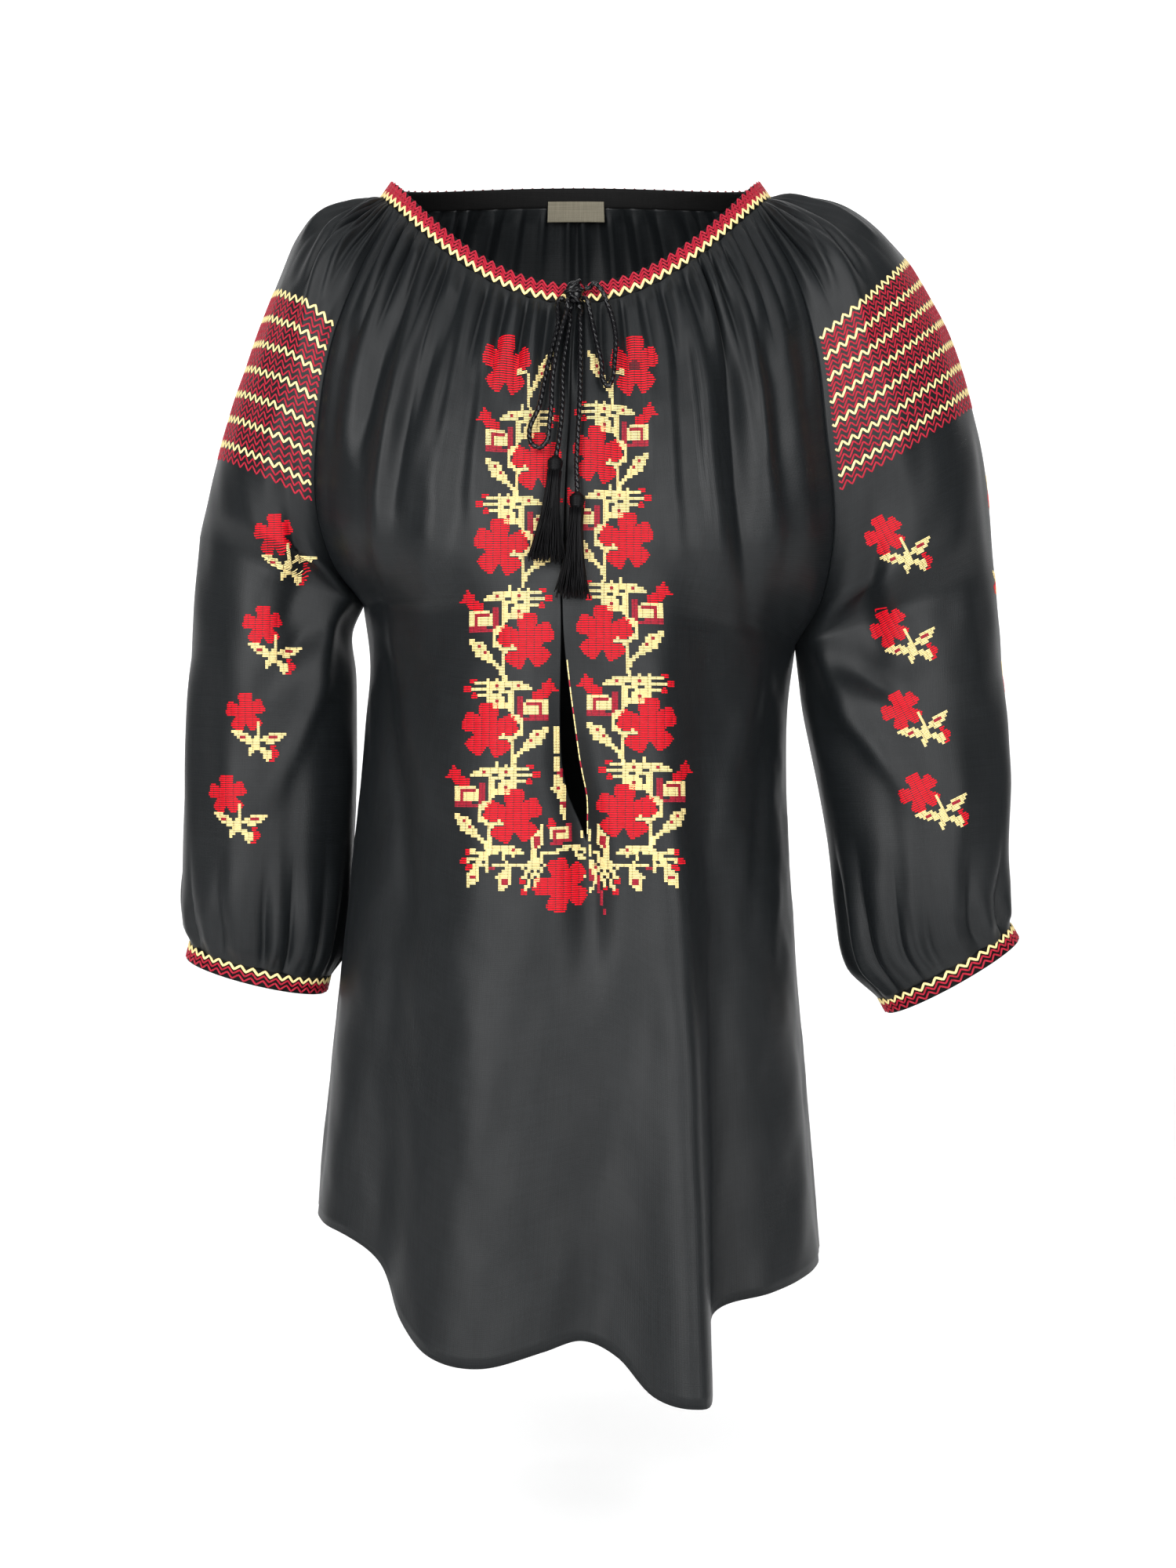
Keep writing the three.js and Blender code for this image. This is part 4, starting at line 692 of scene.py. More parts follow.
# ---------- Camera ----------
CAMERA_LENS, CAMERA_SENSOR, CAMERA_PLACE = 61.2, 36, (0.009, -1.7, -0.3785)


def add_camera():
    data = bpy.data.cameras.new("camera")
    data.lens = CAMERA_LENS
    data.sensor_width = CAMERA_SENSOR
    camera = bpy.data.objects.new("camera", data)
    camera.location = CAMERA_PLACE
    camera.rotation_euler = (np.pi / 2, 0, 0)
    bpy.context.scene.collection.objects.link(camera)
    bpy.context.scene.camera = camera


add_camera()

# ---------- Materials ----------
WEAVE_SCALE = 420
WARP_SLUBS, WEFT_SLUBS = (1400, 30, 1), (22, 1300, 1)  # how the noise is drawn out along the cloth's threads
FIBRE_LINES, FIBRE_PATCHES = (260, 9, 1), 900
SHADE_LOW, SHADE_HIGH = 0.7, 1.3
BUMP_DISTANCE = 0.0002
SHEEN_ROUGHNESS, SHEEN_TINT = 0.45, (0.78, 0.88, 1.0, 1)


def shader(name, color, roughness, **sockets):
    """A material with one Principled shader, whose plain values are set on its own sockets."""
    material = bpy.data.materials.new(name)
    material.use_nodes = True
    principled = material.node_tree.nodes["Principled BSDF"]
    principled.inputs["Base Color"].default_value = (*color, 1)
    principled.inputs["Roughness"].default_value = roughness
    for key, value in sockets.items():
        principled.inputs[key.replace("_", " ")].default_value = value
    return material, material.node_tree, principled


def group(name, inputs, outputs):
    """A shader node group with named inputs (name, kind, value) and outputs (name, kind)."""
    made = bpy.data.node_groups.new(name, "ShaderNodeTree")
    for label, kind, value in inputs:
        socket = made.interface.new_socket(label, in_out="INPUT", socket_type=kind)
        if value is not None:
            socket.default_value = value
    for label, kind in outputs:
        made.interface.new_socket(label, in_out="OUTPUT", socket_type=kind)
    return made, made.nodes.new("NodeGroupInput"), made.nodes.new("NodeGroupOutput")


def math_node(tree, operation, a, b):
    """A Math node over two sockets or numbers."""
    node = tree.nodes.new("ShaderNodeMath")
    node.operation = operation
    for i, value in enumerate((a, b)):
        if isinstance(value, (int, float)):
            node.inputs[i].default_value = value
        else:
            tree.links.new(value, node.inputs[i])
    return node.outputs[0]


def scaled(tree, vector, scale):
    node = tree.nodes.new("ShaderNodeMapping")
    node.inputs["Scale"].default_value = scale
    tree.links.new(vector, node.inputs["Vector"])
    return node.outputs[0]


def noise(tree, vector, scale):
    node = tree.nodes.new("ShaderNodeTexNoise")
    node.inputs["Scale"].default_value = scale
    node.inputs["Detail"].default_value = 2.0
    tree.links.new(vector, node.inputs["Vector"])
    return node.outputs["Fac"]


def weave_group():
    """Plain weave: two crossed waves as height, with long slubs along both threads as shade and height."""
    tree, inside, out = group(
        "plain_weave",
        [("Cloth", "NodeSocketVector", None), ("Slub", "NodeSocketFloat", 0.5)],
        [("Height", "NodeSocketFloat"), ("Shade", "NodeSocketFloat")],
    )
    waves = []
    for direction in "XY":
        wave = tree.nodes.new("ShaderNodeTexWave")
        wave.bands_direction = direction
        wave.inputs["Scale"].default_value = WEAVE_SCALE
        wave.inputs["Distortion"].default_value = 0.4
        tree.links.new(inside.outputs["Cloth"], wave.inputs["Vector"])
        waves.append(wave.outputs["Fac"])
    warp = noise(tree, scaled(tree, inside.outputs["Cloth"], WARP_SLUBS), 1.0)
    weft = noise(tree, scaled(tree, inside.outputs["Cloth"], WEFT_SLUBS), 1.0)
    slub = math_node(tree, "ADD", warp, weft)
    weave = math_node(tree, "MAXIMUM", *waves)
    lifted = math_node(tree, "MULTIPLY", slub, inside.outputs["Slub"])
    tree.links.new(math_node(tree, "ADD", weave, lifted), out.inputs["Height"])
    tree.links.new(slub, out.inputs["Shade"])
    return tree


def fibre_group():
    """Lustrous thread: fine lines that slant along a stitch, and stitch-to-stitch change of shade."""
    tree, inside, out = group(
        "thread_fibres",
        [("Thread", "NodeSocketVector", None), ("Place", "NodeSocketVector", None)],
        [("Height", "NodeSocketFloat"), ("Shade", "NodeSocketFloat")],
    )
    lines = noise(tree, scaled(tree, inside.outputs["Thread"], FIBRE_LINES), 1.0)
    patches = noise(tree, inside.outputs["Place"], FIBRE_PATCHES)
    tree.links.new(lines, out.inputs["Height"])
    tree.links.new(math_node(tree, "ADD", patches, lines), out.inputs["Shade"])
    return tree


WEAVE = weave_group()
FIBRES = fibre_group()


def shaded(tree, principled, shade, dark, light):
    """Base colour between two colours, by a shade that runs from about SHADE_LOW to SHADE_HIGH."""
    ramp = tree.nodes.new("ShaderNodeMapRange")
    ramp.inputs["From Min"].default_value = SHADE_LOW
    ramp.inputs["From Max"].default_value = SHADE_HIGH
    tree.links.new(shade, ramp.inputs["Value"])
    blend = tree.nodes.new("ShaderNodeMix")
    blend.data_type = "RGBA"
    blend.inputs[6].default_value = (*dark, 1)
    blend.inputs[7].default_value = (*light, 1)
    tree.links.new(ramp.outputs[0], blend.inputs[0])
    tree.links.new(blend.outputs[2], principled.inputs["Base Color"])


def bumped(tree, principled, height, strength):
    bump = tree.nodes.new("ShaderNodeBump")
    bump.inputs["Strength"].default_value = strength
    bump.inputs["Distance"].default_value = BUMP_DISTANCE
    tree.links.new(height, bump.inputs["Height"])
    tree.links.new(bump.outputs[0], principled.inputs["Normal"])


def cloth_material(name, dark, light, roughness, sheen, strength, shine=0.24):
    """Woven cloth, its weave laid out on the piece's own UV map in metres of cloth."""
    material, tree, principled = shader(
        name, light, roughness, Sheen_Weight=sheen, Sheen_Roughness=SHEEN_ROUGHNESS, Sheen_Tint=SHEEN_TINT,
        Specular_IOR_Level=shine)
    place = tree.nodes.new("ShaderNodeTexCoord")
    weave = tree.nodes.new("ShaderNodeGroup")
    weave.node_tree = WEAVE
    tree.links.new(place.outputs["UV"], weave.inputs["Cloth"])
    shaded(tree, principled, weave.outputs["Shade"], dark, light)
    bumped(tree, principled, weave.outputs["Height"], strength)
    return material


def thread_material(name, dark, light, roughness=0.42, shine=0.14):
    """Embroidery or cord thread, its fibres laid out along the stitch or cord."""
    material, tree, principled = shader(name, light, roughness, Specular_IOR_Level=shine)
    place = tree.nodes.new("ShaderNodeTexCoord")
    fibres = tree.nodes.new("ShaderNodeGroup")
    fibres.node_tree = FIBRES
    tree.links.new(place.outputs["UV"], fibres.inputs["Thread"])
    tree.links.new(place.outputs["Object"], fibres.inputs["Place"])
    shaded(tree, principled, fibres.outputs["Shade"], dark, light)
    bumped(tree, principled, fibres.outputs["Height"], 0.35)
    return material


RAYON = cloth_material("black rayon", (0.0040, 0.0048, 0.0054), (0.0070, 0.0084, 0.0094), 0.44, 0.01, 0.25)
# Band cloth: its own black, set darker than the body cloth as painted shade for the band's shaded inside.
BAND_CLOTH_WITH_PAINTED_SHADE = cloth_material(
    "black band cloth with painted shade", (0.002, 0.002, 0.002), (0.004, 0.0038, 0.0038), 0.6, 0.01, 0.4, 0.1)
# The label's own beige, darkened to about half as painted shade for where it sits in shadow inside the back.
LABEL_CLOTH_WITH_PAINTED_SHADE = cloth_material("label tape with painted shade", (0.12, 0.108, 0.077), (0.19, 0.172, 0.127), 0.6, 0.02, 0.5)
CORD_THREAD = thread_material("black cord thread", (0.0015, 0.0015, 0.002), (0.005, 0.005, 0.006), 0.2, 0.27)
TASSEL_THREAD = thread_material(
    "black tassel thread", (0.0012, 0.0012, 0.0016), (0.0035, 0.0035, 0.004), 0.45, 0.1)
RED = thread_material("red thread", (0.50, 0.0012, 0.008), (0.76, 0.004, 0.018))
CRIMSON = thread_material("crimson thread", (0.26, 0.008, 0.02), (0.44, 0.018, 0.04))
DARK_RED = thread_material("dark red thread", (0.10, 0.005, 0.01), (0.2, 0.01, 0.018))
CREAM = thread_material("cream thread", (0.74, 0.57, 0.23), (0.90, 0.74, 0.36))


# ---------- Cords ----------
CORD_STEP = 0.6
ROUTE_PARTS = 24  # points on each stretch of a route before they are spaced evenly
CORD_SIDES, TURN_SIDES = 18, 14
# The knot's turns of cord round its core: each one's tilt in degrees, lift and size.
KNOT_TURNS = [(-38, -3.2, 0.84), (6, 0.6, 0.96), (40, 3.6, 0.84)]
TURN_INSET = np.array([1.2, 0.9, 2.4])
CORE_SIZE = np.array([0.8, 0.7, 0.86])
STRANDS, STRAND_HALF, STRAND_POINTS = 170, 0.46, 9
HEAD_RINGS, HEAD_SIDES, WRAP_RIDGE, WRAP_PITCH = 34, 20, 0.16, 1.1
ROOT_DEPTH = 1.5  # how far inside the head the strands begin


def smooth_route(route, step):
    """A centripetal Catmull-Rom curve through the route, as points about a step apart."""
    ends = [2 * route[0] - route[1]], [2 * route[-1] - route[-2]]
    p = np.concatenate([ends[0], route, ends[1]])
    gaps = np.linalg.norm(np.diff(p, axis=0), axis=1) ** 0.5
    t0, t1, t2 = (col(gaps[i: len(gaps) - 2 + i]) for i in range(3))
    a, b, c, d = (p[i: len(p) - 3 + i] for i in range(4))
    m1 = ((b - a) / t0 - (c - a) / (t0 + t1) + (c - b) / t1) * t1
    m2 = ((c - b) / t1 - (d - b) / (t1 + t2) + (d - c) / t2) * t1
    k = np.linspace(0, 1, ROUTE_PARTS, endpoint=False)[:, None, None]
    line = b * (2 * k**3 - 3 * k**2 + 1) + c * (3 * k**2 - 2 * k**3)
    line = line + m1 * (k**3 - 2 * k**2 + k) + m2 * (k**3 - k**2)
    line = np.concatenate([line.transpose(1, 0, 2).reshape(-1, 3), route[-1:]])
    return even_steps(line, step)


def even_steps(line, step):
    """The same line, as points spaced evenly along it."""
    run = run_along(line)
    at = np.linspace(0, run[-1], max(int(run[-1] / step), 2) + 1)
    return np.stack([np.interp(at, run, line[:, i]) for i in range(3)], axis=-1)


def line_length(line):
    """The sum of the steps along a line of points."""
    return np.linalg.norm(np.diff(line, axis=0), axis=1).sum()


def leave_knot(around, forward):
    """Two points that lead a cord straight out of the knot's surface."""
    around, forward = np.radians([around, forward])
    toward = np.array([np.cos(around) * np.cos(forward), -np.sin(forward), np.sin(around) * np.cos(forward)])
    out = unit(toward / KNOT_HALF)
    return KNOT + toward * KNOT_HALF + out * np.array([[KNOT_GAP], [KNOT_GAP + CORD]])


def twisted(line, diameter, closed=False, sides=CORD_SIDES):
    """A cord of three strands: rings round the line whose radius swells three times round, turned along it by
    a full turn for each lay length."""
    along = np.gradient(line, axis=0)
    if closed:
        along = np.roll(line, -1, axis=0) - np.roll(line, 1, axis=0)
    along = unit(along)
    side = unit(np.cross(along, [0.05, -1, 0.08]))
    up = np.cross(side, along)
    run = np.arange(len(line)) * line_length(line) / (len(line) - 1)
    theta = np.linspace(0, 2 * np.pi, sides, endpoint=False)
    turned = theta[None, :] - 2 * np.pi * run[:, None] / LAY
    radius = diameter / 2 * (0.7 + 0.32 * np.abs(np.cos(1.5 * turned)) ** 0.7)
    around = side[:, None] * col(np.cos(theta)) + up[:, None] * col(np.sin(theta))
    return line[:, None] + around * col(radius)


def tube_uv(rings, points):
    """Length along and share round a tube, for each of its points."""
    count, sides = rings.shape[:2]
    uv = np.zeros((len(points), 2))
    uv[: count * sides, 0] = np.repeat(np.arange(count), sides) * CORD_STEP * MM
    uv[: count * sides, 1] = np.tile(np.linspace(0, 1, sides, endpoint=False), count)
    return uv


def tassel_line(name):
    """A tassel's top, the direction it hangs in and its length."""
    top, foot = (standing(*(np.array([v], float) for v in spot))[0] for spot in TASSELS[name][:2])
    return top, unit(foot - top), np.linalg.norm(foot - top)


def cord_piece(name):
    """One stretch of the tie from the knot: a loop comes back to it, and a tail ends in its tassel's head."""
    rows, exits = CORDS[name], CORD_EXITS[name]
    route = [leave_knot(*exits[0]), standing(rows["x"], rows["z"], rows["stand"])]
    if len(exits) > 1:
        route.append(leave_knot(*exits[1])[::-1])
    else:
        top, down, _ = tassel_line(name.replace("cord_tail", "tassel"))
        route.append([top + down * 0.8 * TASSEL_HEAD])
    line = smooth_route(np.concatenate(route), CORD_STEP)
    rings = twisted(line, CORD)
    points, faces = tube(rings)
    made = piece(name + "_twist", points, faces, tube_uv(rings, points), CORD_THREAD)
    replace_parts(made, name)
    return made, line


cord_pieces = {name: cord_piece(name) for name in CORDS}


def knot_piece():
    """Three turns of the cord, each a tilted ellipse, over an oval core made as a ball in rings."""
    a = np.linspace(0, 2 * np.pi, 60, endpoint=False)
    parts = []
    for tilt, lift, size in KNOT_TURNS:
        t = np.radians(tilt)
        flat = np.stack([np.cos(a) * np.cos(t), np.sin(a), np.cos(a) * np.sin(t)], axis=-1)
        line = KNOT + flat * (KNOT_HALF - TURN_INSET) * size + [0, 0, lift]
        parts.append(tube(twisted(line, CORD * 0.95, closed=True, sides=TURN_SIDES), closed=True))
    theta, phi = np.meshgrid(np.linspace(0.05, np.pi - 0.05, 12), a[::3], indexing="ij")
    ball = np.stack([np.sin(theta) * np.cos(phi), -np.sin(theta) * np.sin(phi), np.cos(theta)], axis=-1)
    parts.append(tube(KNOT + ball * KNOT_HALF * CORE_SIZE))
    points, faces = joined(parts)
    made = piece("bow_knot_turns", points, faces, np.zeros((len(points), 2)), CORD_THREAD)
    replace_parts(made, "bow_knot")
    return made


def tassel_piece(name, seed):
    """A wrapped round head over a skirt of fine strands that hang, bend a little and part at their ends."""
    _, _, spread, deep = TASSELS[name]
    top, down, long = tassel_line(name)
    wide = unit(np.cross([0, -1, 0], down))
    front = np.cross(down, wide)
    rng = np.random.default_rng(seed)
    # The head: a turned profile with the ridges of its wrapping threads.
    drop = np.linspace(0, TASSEL_HEAD, HEAD_RINGS)
    swell = 0.42 * np.sin(np.pi * np.clip(drop / TASSEL_HEAD, 0.02, 1) ** 0.55) ** 0.5
    swell = swell + 0.55 * rise(drop, 0, 4)
    radius = TASSEL_RADIUS * np.clip(swell, 0.12, 1) + WRAP_RIDGE * np.cos(2 * np.pi * drop / WRAP_PITCH)
    theta = np.linspace(0, 2 * np.pi, HEAD_SIDES, endpoint=False)
    around = wide * col(np.cos(theta)) - front * col(np.sin(theta))
    parts = [tube(top + down * col(drop)[:, None] + around[None] * radius[:, None, None])]
    # The strands: rooted on discs under the head, each a thin tube with four sides.
    root = np.sqrt(rng.uniform(0, 1, STRANDS))
    turn = rng.uniform(0, 2 * np.pi, STRANDS)
    k = np.linspace(0, 1, STRAND_POINTS)[None, :]
    out = root[:, None] * (TASSEL_RADIUS * 0.86 * (1 - k) + k)
    x = out * np.cos(turn)[:, None] * (1 - k) + k**1.3 * (spread * root * np.cos(turn))[:, None]
    y = out * np.sin(turn)[:, None] * (1 - k) + k**1.3 * (deep * root * np.sin(turn))[:, None]
    phase, size = rng.uniform(0, 6.3, (2, STRANDS, 1)), rng.uniform(0.2, 1.1, (2, STRANDS, 1))
    x = x + size[0] * k * np.sin(4.2 * k + phase[0])
    y = y + 0.6 * size[1] * k * np.sin(3.6 * k + phase[1])
    first = TASSEL_HEAD - ROOT_DEPTH
    z = first + k * (long - first - rng.uniform(0, 5.5, (STRANDS, 1)))
    line = top + wide * col(x) + front * col(y) + down * col(z)
    corner = np.arange(4) * np.pi / 2
    arm = wide * col(np.cos(corner)) - front * col(np.sin(corner))
    thick = STRAND_HALF * (1 - 0.35 * k)[..., None, None]
    rings = line[:, :, None] + arm * thick
    parts += [tube(strand) for strand in rings]
    points, faces = joined(parts)
    made = piece(name + "_fringe", points, faces, np.zeros((len(points), 2)), TASSEL_THREAD)
    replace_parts(made, name)
    return made


def declare_cords():
    """The knot and the two tassels."""
    knot = knot_piece()
    ends = {"cord_tail_left": tassel_piece("tassel_left", 3)}
    ends["cord_tail_right"] = tassel_piece("tassel_right", 4)


declare_cords()


# ---------- Cloth panels ----------
def spaced_rows(count, stops, shares):
    """Row places that stay close together near the neckband, where the gathers are."""
    return np.interp(np.linspace(0, 1, count), shares, stops)


def finished(made, thickness):
    """Gives a sheet its wall, half on each side."""
    solid = made.modifiers.new("wall", "SOLIDIFY")
    solid.thickness = thickness * MM
    solid.offset = 0
    return made


def body_panel(face):
    """A body panel as two halves, which on the front part along the slit and share their points below it."""
    columns, row_count = PANEL_GRID[face]
    rows = spaced_rows(row_count, [0, 0.45, 1.2, 2], [0, 0.36, 0.72, 1])
    rows[np.abs(rows - SLIT_END).argmin()] = SLIT_END
    q = np.linspace(0, 0.5, columns)
    s = rows[:, None]
    halves = [body_points(face, q[None] + 0 * s, s + 0 * q[None], -1)]
    halves.append(body_points(face, q[None] + 0.5 + 0 * s, s + 0 * q[None], 1))
    points = np.concatenate(halves, axis=1)
    normals = np.concatenate([grid_normals(h) for h in halves], axis=1)
    ids = np.arange(points[..., 0].size).reshape(len(rows), -1)
    shut = rows >= (SLIT_END if face == "front" else 0)
    ids[shut, columns] = ids[shut, columns - 1]
    corners = [ids[:-1, :-1], ids[1:, :-1], ids[1:, 1:], ids[:-1, 1:]]
    quads = np.delete(np.stack(corners, axis=-1), columns - 1, axis=1).reshape(-1, 4)
    across = np.concatenate([q - 1e-6, q + 0.5 + 1e-6])
    uv = stacked(across[None] * BODY_WIDTH * MM, -body_down(s) * MM)
    made = piece(face + "_cloth", points, [quads], uv, RAYON)
    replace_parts(finished(made, CLOTH), face)
    return {"piece": made, "points": points, "normals": normals, "q": across, "s": rows}


def sleeve_panel(side):
    """A sleeve from seam to seam, which closes along the underside of the arm."""
    columns, row_count = PANEL_GRID["sleeve"]
    s = spaced_rows(row_count, [0, 0.4, 1.6, 2], [0, 0.32, 0.72, 1])[:, None]
    q = np.linspace(0, 1, columns)[None]
    points = sleeve_points(side, q + 0 * s, s + 0 * q)
    normals = grid_normals(points)
    uv = stacked(q * SLEEVE_WIDTH * MM, -sleeve_down(s) * MM)
    faces = [grid_faces(len(s), columns)]
    made = piece("sleeve_" + side + "_cloth", points, faces, uv, RAYON)
    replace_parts(finished(made, CLOTH), "sleeve_" + side)
    return {"piece": made, "points": points, "normals": normals, "q": q[0], "s": s[:, 0]}


def on_cloth(panel, q, s):
    """Points and outward directions on a panel's own grid: weighed means of the four grid points round."""
    r = np.interp(s, panel["s"], np.arange(len(panel["s"])))
    c = np.interp(q, panel["q"], np.arange(len(panel["q"])))
    r0 = np.minimum(r.astype(int), len(panel["s"]) - 2)
    c0 = np.minimum(c.astype(int), len(panel["q"]) - 2)
    kr, kc = col(r - r0), col(c - c0)

    def at(values):
        upper = mix(values[r0, c0], values[r0, c0 + 1], kc)
        lower = mix(values[r0 + 1, c0], values[r0 + 1, c0 + 1], kc)
        return mix(upper, lower, kr)

    return at(panel["points"]), unit(at(panel["normals"]))


panels = {face: body_panel(face) for face in ("front", "back")}
panels.update({side: sleeve_panel(side) for side in SIGN})


# ---------- Bands and label ----------
BAND_SIDES, NECKBAND_RINGS, CUFF_RINGS, LABEL_GRID = 20, 420, 180, (16, 40)


def neck_frames(deg):
    """Foot, upward and outward direction of the neckband at each angle."""
    run = neck_ring(deg + 0.5) - neck_ring(deg - 0.5)
    up = band_up(deg)
    return neck_ring(deg), up, unit(np.cross(run, up))


def band_section(height, thickness):
    """A soft-edged band's section, out and up: a circle with its sine and cosine raised to a power."""
    a = np.linspace(0, 2 * np.pi, BAND_SIDES, endpoint=False)
    bulge = lambda v: np.sign(v) * np.abs(v) ** 0.45
    return thickness / 2 * bulge(np.cos(a)), height / 2 * (1 + bulge(np.sin(a)))


def swept_band(foot, up, out, height, thickness, closed):
    """The band's section carried along its foot."""
    across, along = band_section(height, thickness)
    rings = foot[:, None] + out[:, None] * across[None, :, None] + up[:, None] * along[None, :, None]
    return tube(rings, closed)


def even_degrees(count):
    """Angles round the neckband that are evenly spaced along its edge."""
    deg = np.linspace(BAND_END_DEG, 360 - BAND_END_DEG, 2400)
    run = run_along(neck_ring(deg))
    return np.interp(np.linspace(0, run[-1], count), run, deg), run[-1]


def neckband_piece():
    """The neckband, open at the slit."""
    deg, _ = even_degrees(NECKBAND_RINGS)
    points, faces = swept_band(*neck_frames(deg), BAND_HEIGHT, BAND_THICK, False)
    made = piece("neckband_cloth", points, faces, points[:, ::2] * MM, BAND_CLOTH_WITH_PAINTED_SHADE)
    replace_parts(made, "neckband")
    return made


def cuff_frames(side, turn):
    """Foot, downward and outward direction of a cuff, which runs on from the sleeve's last ring."""
    middle, outward, across = (v[0] for v in ring_frame(side, np.array([1.0])))
    down = cuff_down(side)
    arm = outward * col(np.cos(turn)) + across * col(np.sin(turn))
    foot = middle + arm + down * SEAM_GAP
    return foot, np.broadcast_to(down, foot.shape), unit(arm)


def cuff_piece(side):
    """A cuff, closed all round."""
    turn = np.linspace(np.pi, -np.pi, CUFF_RINGS, endpoint=False)
    points, faces = swept_band(*cuff_frames(side, turn), CUFF_HEIGHT, CUFF_THICK, True)
    made = piece("cuff_" + side + "_cloth", points, faces, points[:, ::2] * MM, BAND_CLOTH_WITH_PAINTED_SHADE)
    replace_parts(made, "cuff_" + side)
    return made


def label_piece():
    """A bare woven label inside the middle of the back, a flat oblong that follows the neckband's curve."""
    rows, columns = LABEL_GRID
    half = np.degrees(np.arcsin(LABEL_WIDTH / 2 / NECK_HALF_WIDTH))
    deg = np.linspace(180 - half, 180 + half, columns)
    foot, up, out = neck_frames(deg)
    height = np.linspace(LABEL_BOTTOM, LABEL_TOP, rows)
    back = -BAND_THICK / 2 - LABEL_BEHIND - LABEL_THICK / 2
    points = foot[None] + out[None] * back + up[None] * height[::-1, None, None]
    uv = stacked(np.linspace(0, LABEL_WIDTH * MM, columns)[None], height[:, None] * MM)
    made = piece("label_tape", points, [grid_faces(rows, columns)], uv, LABEL_CLOTH_WITH_PAINTED_SHADE)
    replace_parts(finished(made, LABEL_THICK), "label")
    return made


neckband = neckband_piece()
cuffs = {side: cuff_piece(side) for side in SIGN}
label = label_piece()

# ---------- Embroidery threads ----------
EMBROIDERY = {
    "red": (RED, "thread_red"),
    "crimson": (CRIMSON, "thread_crimson"),
    "dark_red": (DARK_RED, "thread_dark_red"),
    "cream": (CREAM, "thread_cream"),
}
ARCH = 4  # points across a thread
LIFT = 0.25  # how far a stitch's middle line stands off the cloth's middle
# A stitch's points along it, and its share of the full width and height at each.
EASE = np.array([0.01, 0.12, 0.5, 0.88, 0.99])
ENDS_NARROW = np.array([[0.86], [1], [1], [1], [0.86]])
ENDS_LOW = np.array([[0.4], [1], [1], [1], [0.4]])
STITCH_HEIGHT = 0.5
THREAD_GRAIN = np.array([0.0008, 0.001])  # metres of UV map from point to point along a thread, and across it

# Rows of zigzag: the wave's length, points on each wave, and each colour's thread width.
ZIGZAG_PITCH, WAVE_POINTS = 7.0, 8
ZIGZAG_THREAD = {"cream": 1.65, "crimson": 1.25}
BAND_THREAD_HEIGHT, SLEEVE_THREAD_HEIGHT = 0.75, 0.55
BAND_THREAD_OFF = 0.02  # how far a thread's foot stands off a band's face
# Height up the band, half the height of the wave, and colour of each row.
NECKBAND_ROWS = [(3.3, 2.3, "cream"), (6.1, 2.1, "crimson"), (8.6, 2.1, "crimson"), (11.0, 1.9, "crimson")]
CUFF_ROWS = [(2.2, 1.6, "cream"), (5.1, 1.5, "crimson"), (8.2, 1.5, "crimson")]
# Each sleeve's panel of rows: s of the first and last cream row at the seams and at the shoulder line.
SLEEVE_BANDS = {"left": ((0.37, 0.76), (0.44, 0.79)), "right": ((0.383, 0.707), (0.37, 0.69))}
SLEEVE_ROWS, ROWS_FROM_CREAM_TO_CREAM, SLEEVE_WAVE = 27, 4, 2.05
PLAIN_EDGE = 0.012  # share of the sleeve's width left plain beside each seam


def ribbon(line, normals, width, height):
    """A low rounded thread along lines of points (lines x points x 3): half an ellipse across it."""
    along = unit(np.gradient(line, axis=-2))
    side = np.cross(normals, along)
    turn = np.linspace(-np.pi / 2, np.pi / 2, ARCH)
    rows = line[..., None, :] + side[..., None, :] * col(width / 2 * np.sin(turn))
    return rows + normals[..., None, :] * col(height * np.cos(turn))


def ribbon_mesh(rings):
    """Faces of many ribbons of the same number of points (ribbons x points x arch)."""
    count, length, across = rings.shape[:3]
    one = grid_faces(length, across)[:, ::-1]
    starts = np.arange(count)[:, None, None] * length * across
    return rings.reshape(-1, 3), [(one[None] + starts).reshape(-1, 4)]


def zigzag(phase):
    """A triangle wave with softly rounded corners: the arcsine of a slightly lowered sine."""
    lowered = 0.96
    return np.arcsin(lowered * np.sin(2 * np.pi * phase)) / np.arcsin(lowered)


def band_zigzags(frames_of, length, thickness, rows, name, flip=1):
    """Rows of zigzag thread on a band's face, with the wave running along the band."""
    waves = round(length / ZIGZAG_PITCH)
    t = np.linspace(0, 1, waves * WAVE_POINTS + 1)
    foot, up, out = frames_of(t)
    wave = zigzag(waves * t)
    parts = {}
    for height, size, colour in rows:
        line = foot + up * col(height + flip * size * wave) + out * (thickness / 2 + BAND_THREAD_OFF)
        rings = ribbon(line[None], out[None], ZIGZAG_THREAD[colour], BAND_THREAD_HEIGHT)
        parts.setdefault(colour, []).append(ribbon_mesh(rings))
    for colour, meshes in parts.items():
        thread_piece(name + "_" + colour, meshes, colour)


def thread_piece(name, meshes, colour):
    """All of one colour's threads as one object, with its UV map along and across each thread."""
    points, faces = joined(meshes)
    material, slot_name = EMBROIDERY[colour]
    across = np.tile(np.linspace(0, 1, ARCH), len(points) // ARCH)
    along = np.repeat(np.arange(len(points) // ARCH), ARCH)
    return piece(name, points, faces, np.stack([along, across], axis=-1) * THREAD_GRAIN, material)


def neckband_zigzags():
    """The neckband's rows, spaced evenly along its foot."""
    deg, length = even_degrees(4000)
    frames_of = lambda t: neck_frames(np.interp(t, np.linspace(0, 1, len(deg)), deg))
    band_zigzags(frames_of, length, BAND_THICK, NECKBAND_ROWS, "neckband_zigzag")


def cuff_zigzags(side):
    """A cuff's rows, upside down as its band runs down from the sleeve."""
    foot, _, _ = cuff_frames(side, np.linspace(np.pi, -np.pi, 400))
    frames_of = lambda t: cuff_frames(side, np.pi * (1 - 2 * t))
    band_zigzags(frames_of, line_length(foot), CUFF_THICK, CUFF_ROWS, "cuff_" + side + "_zigzag", flip=-1)


neckband_zigzags()
for side in SIGN:
    cuff_zigzags(side)


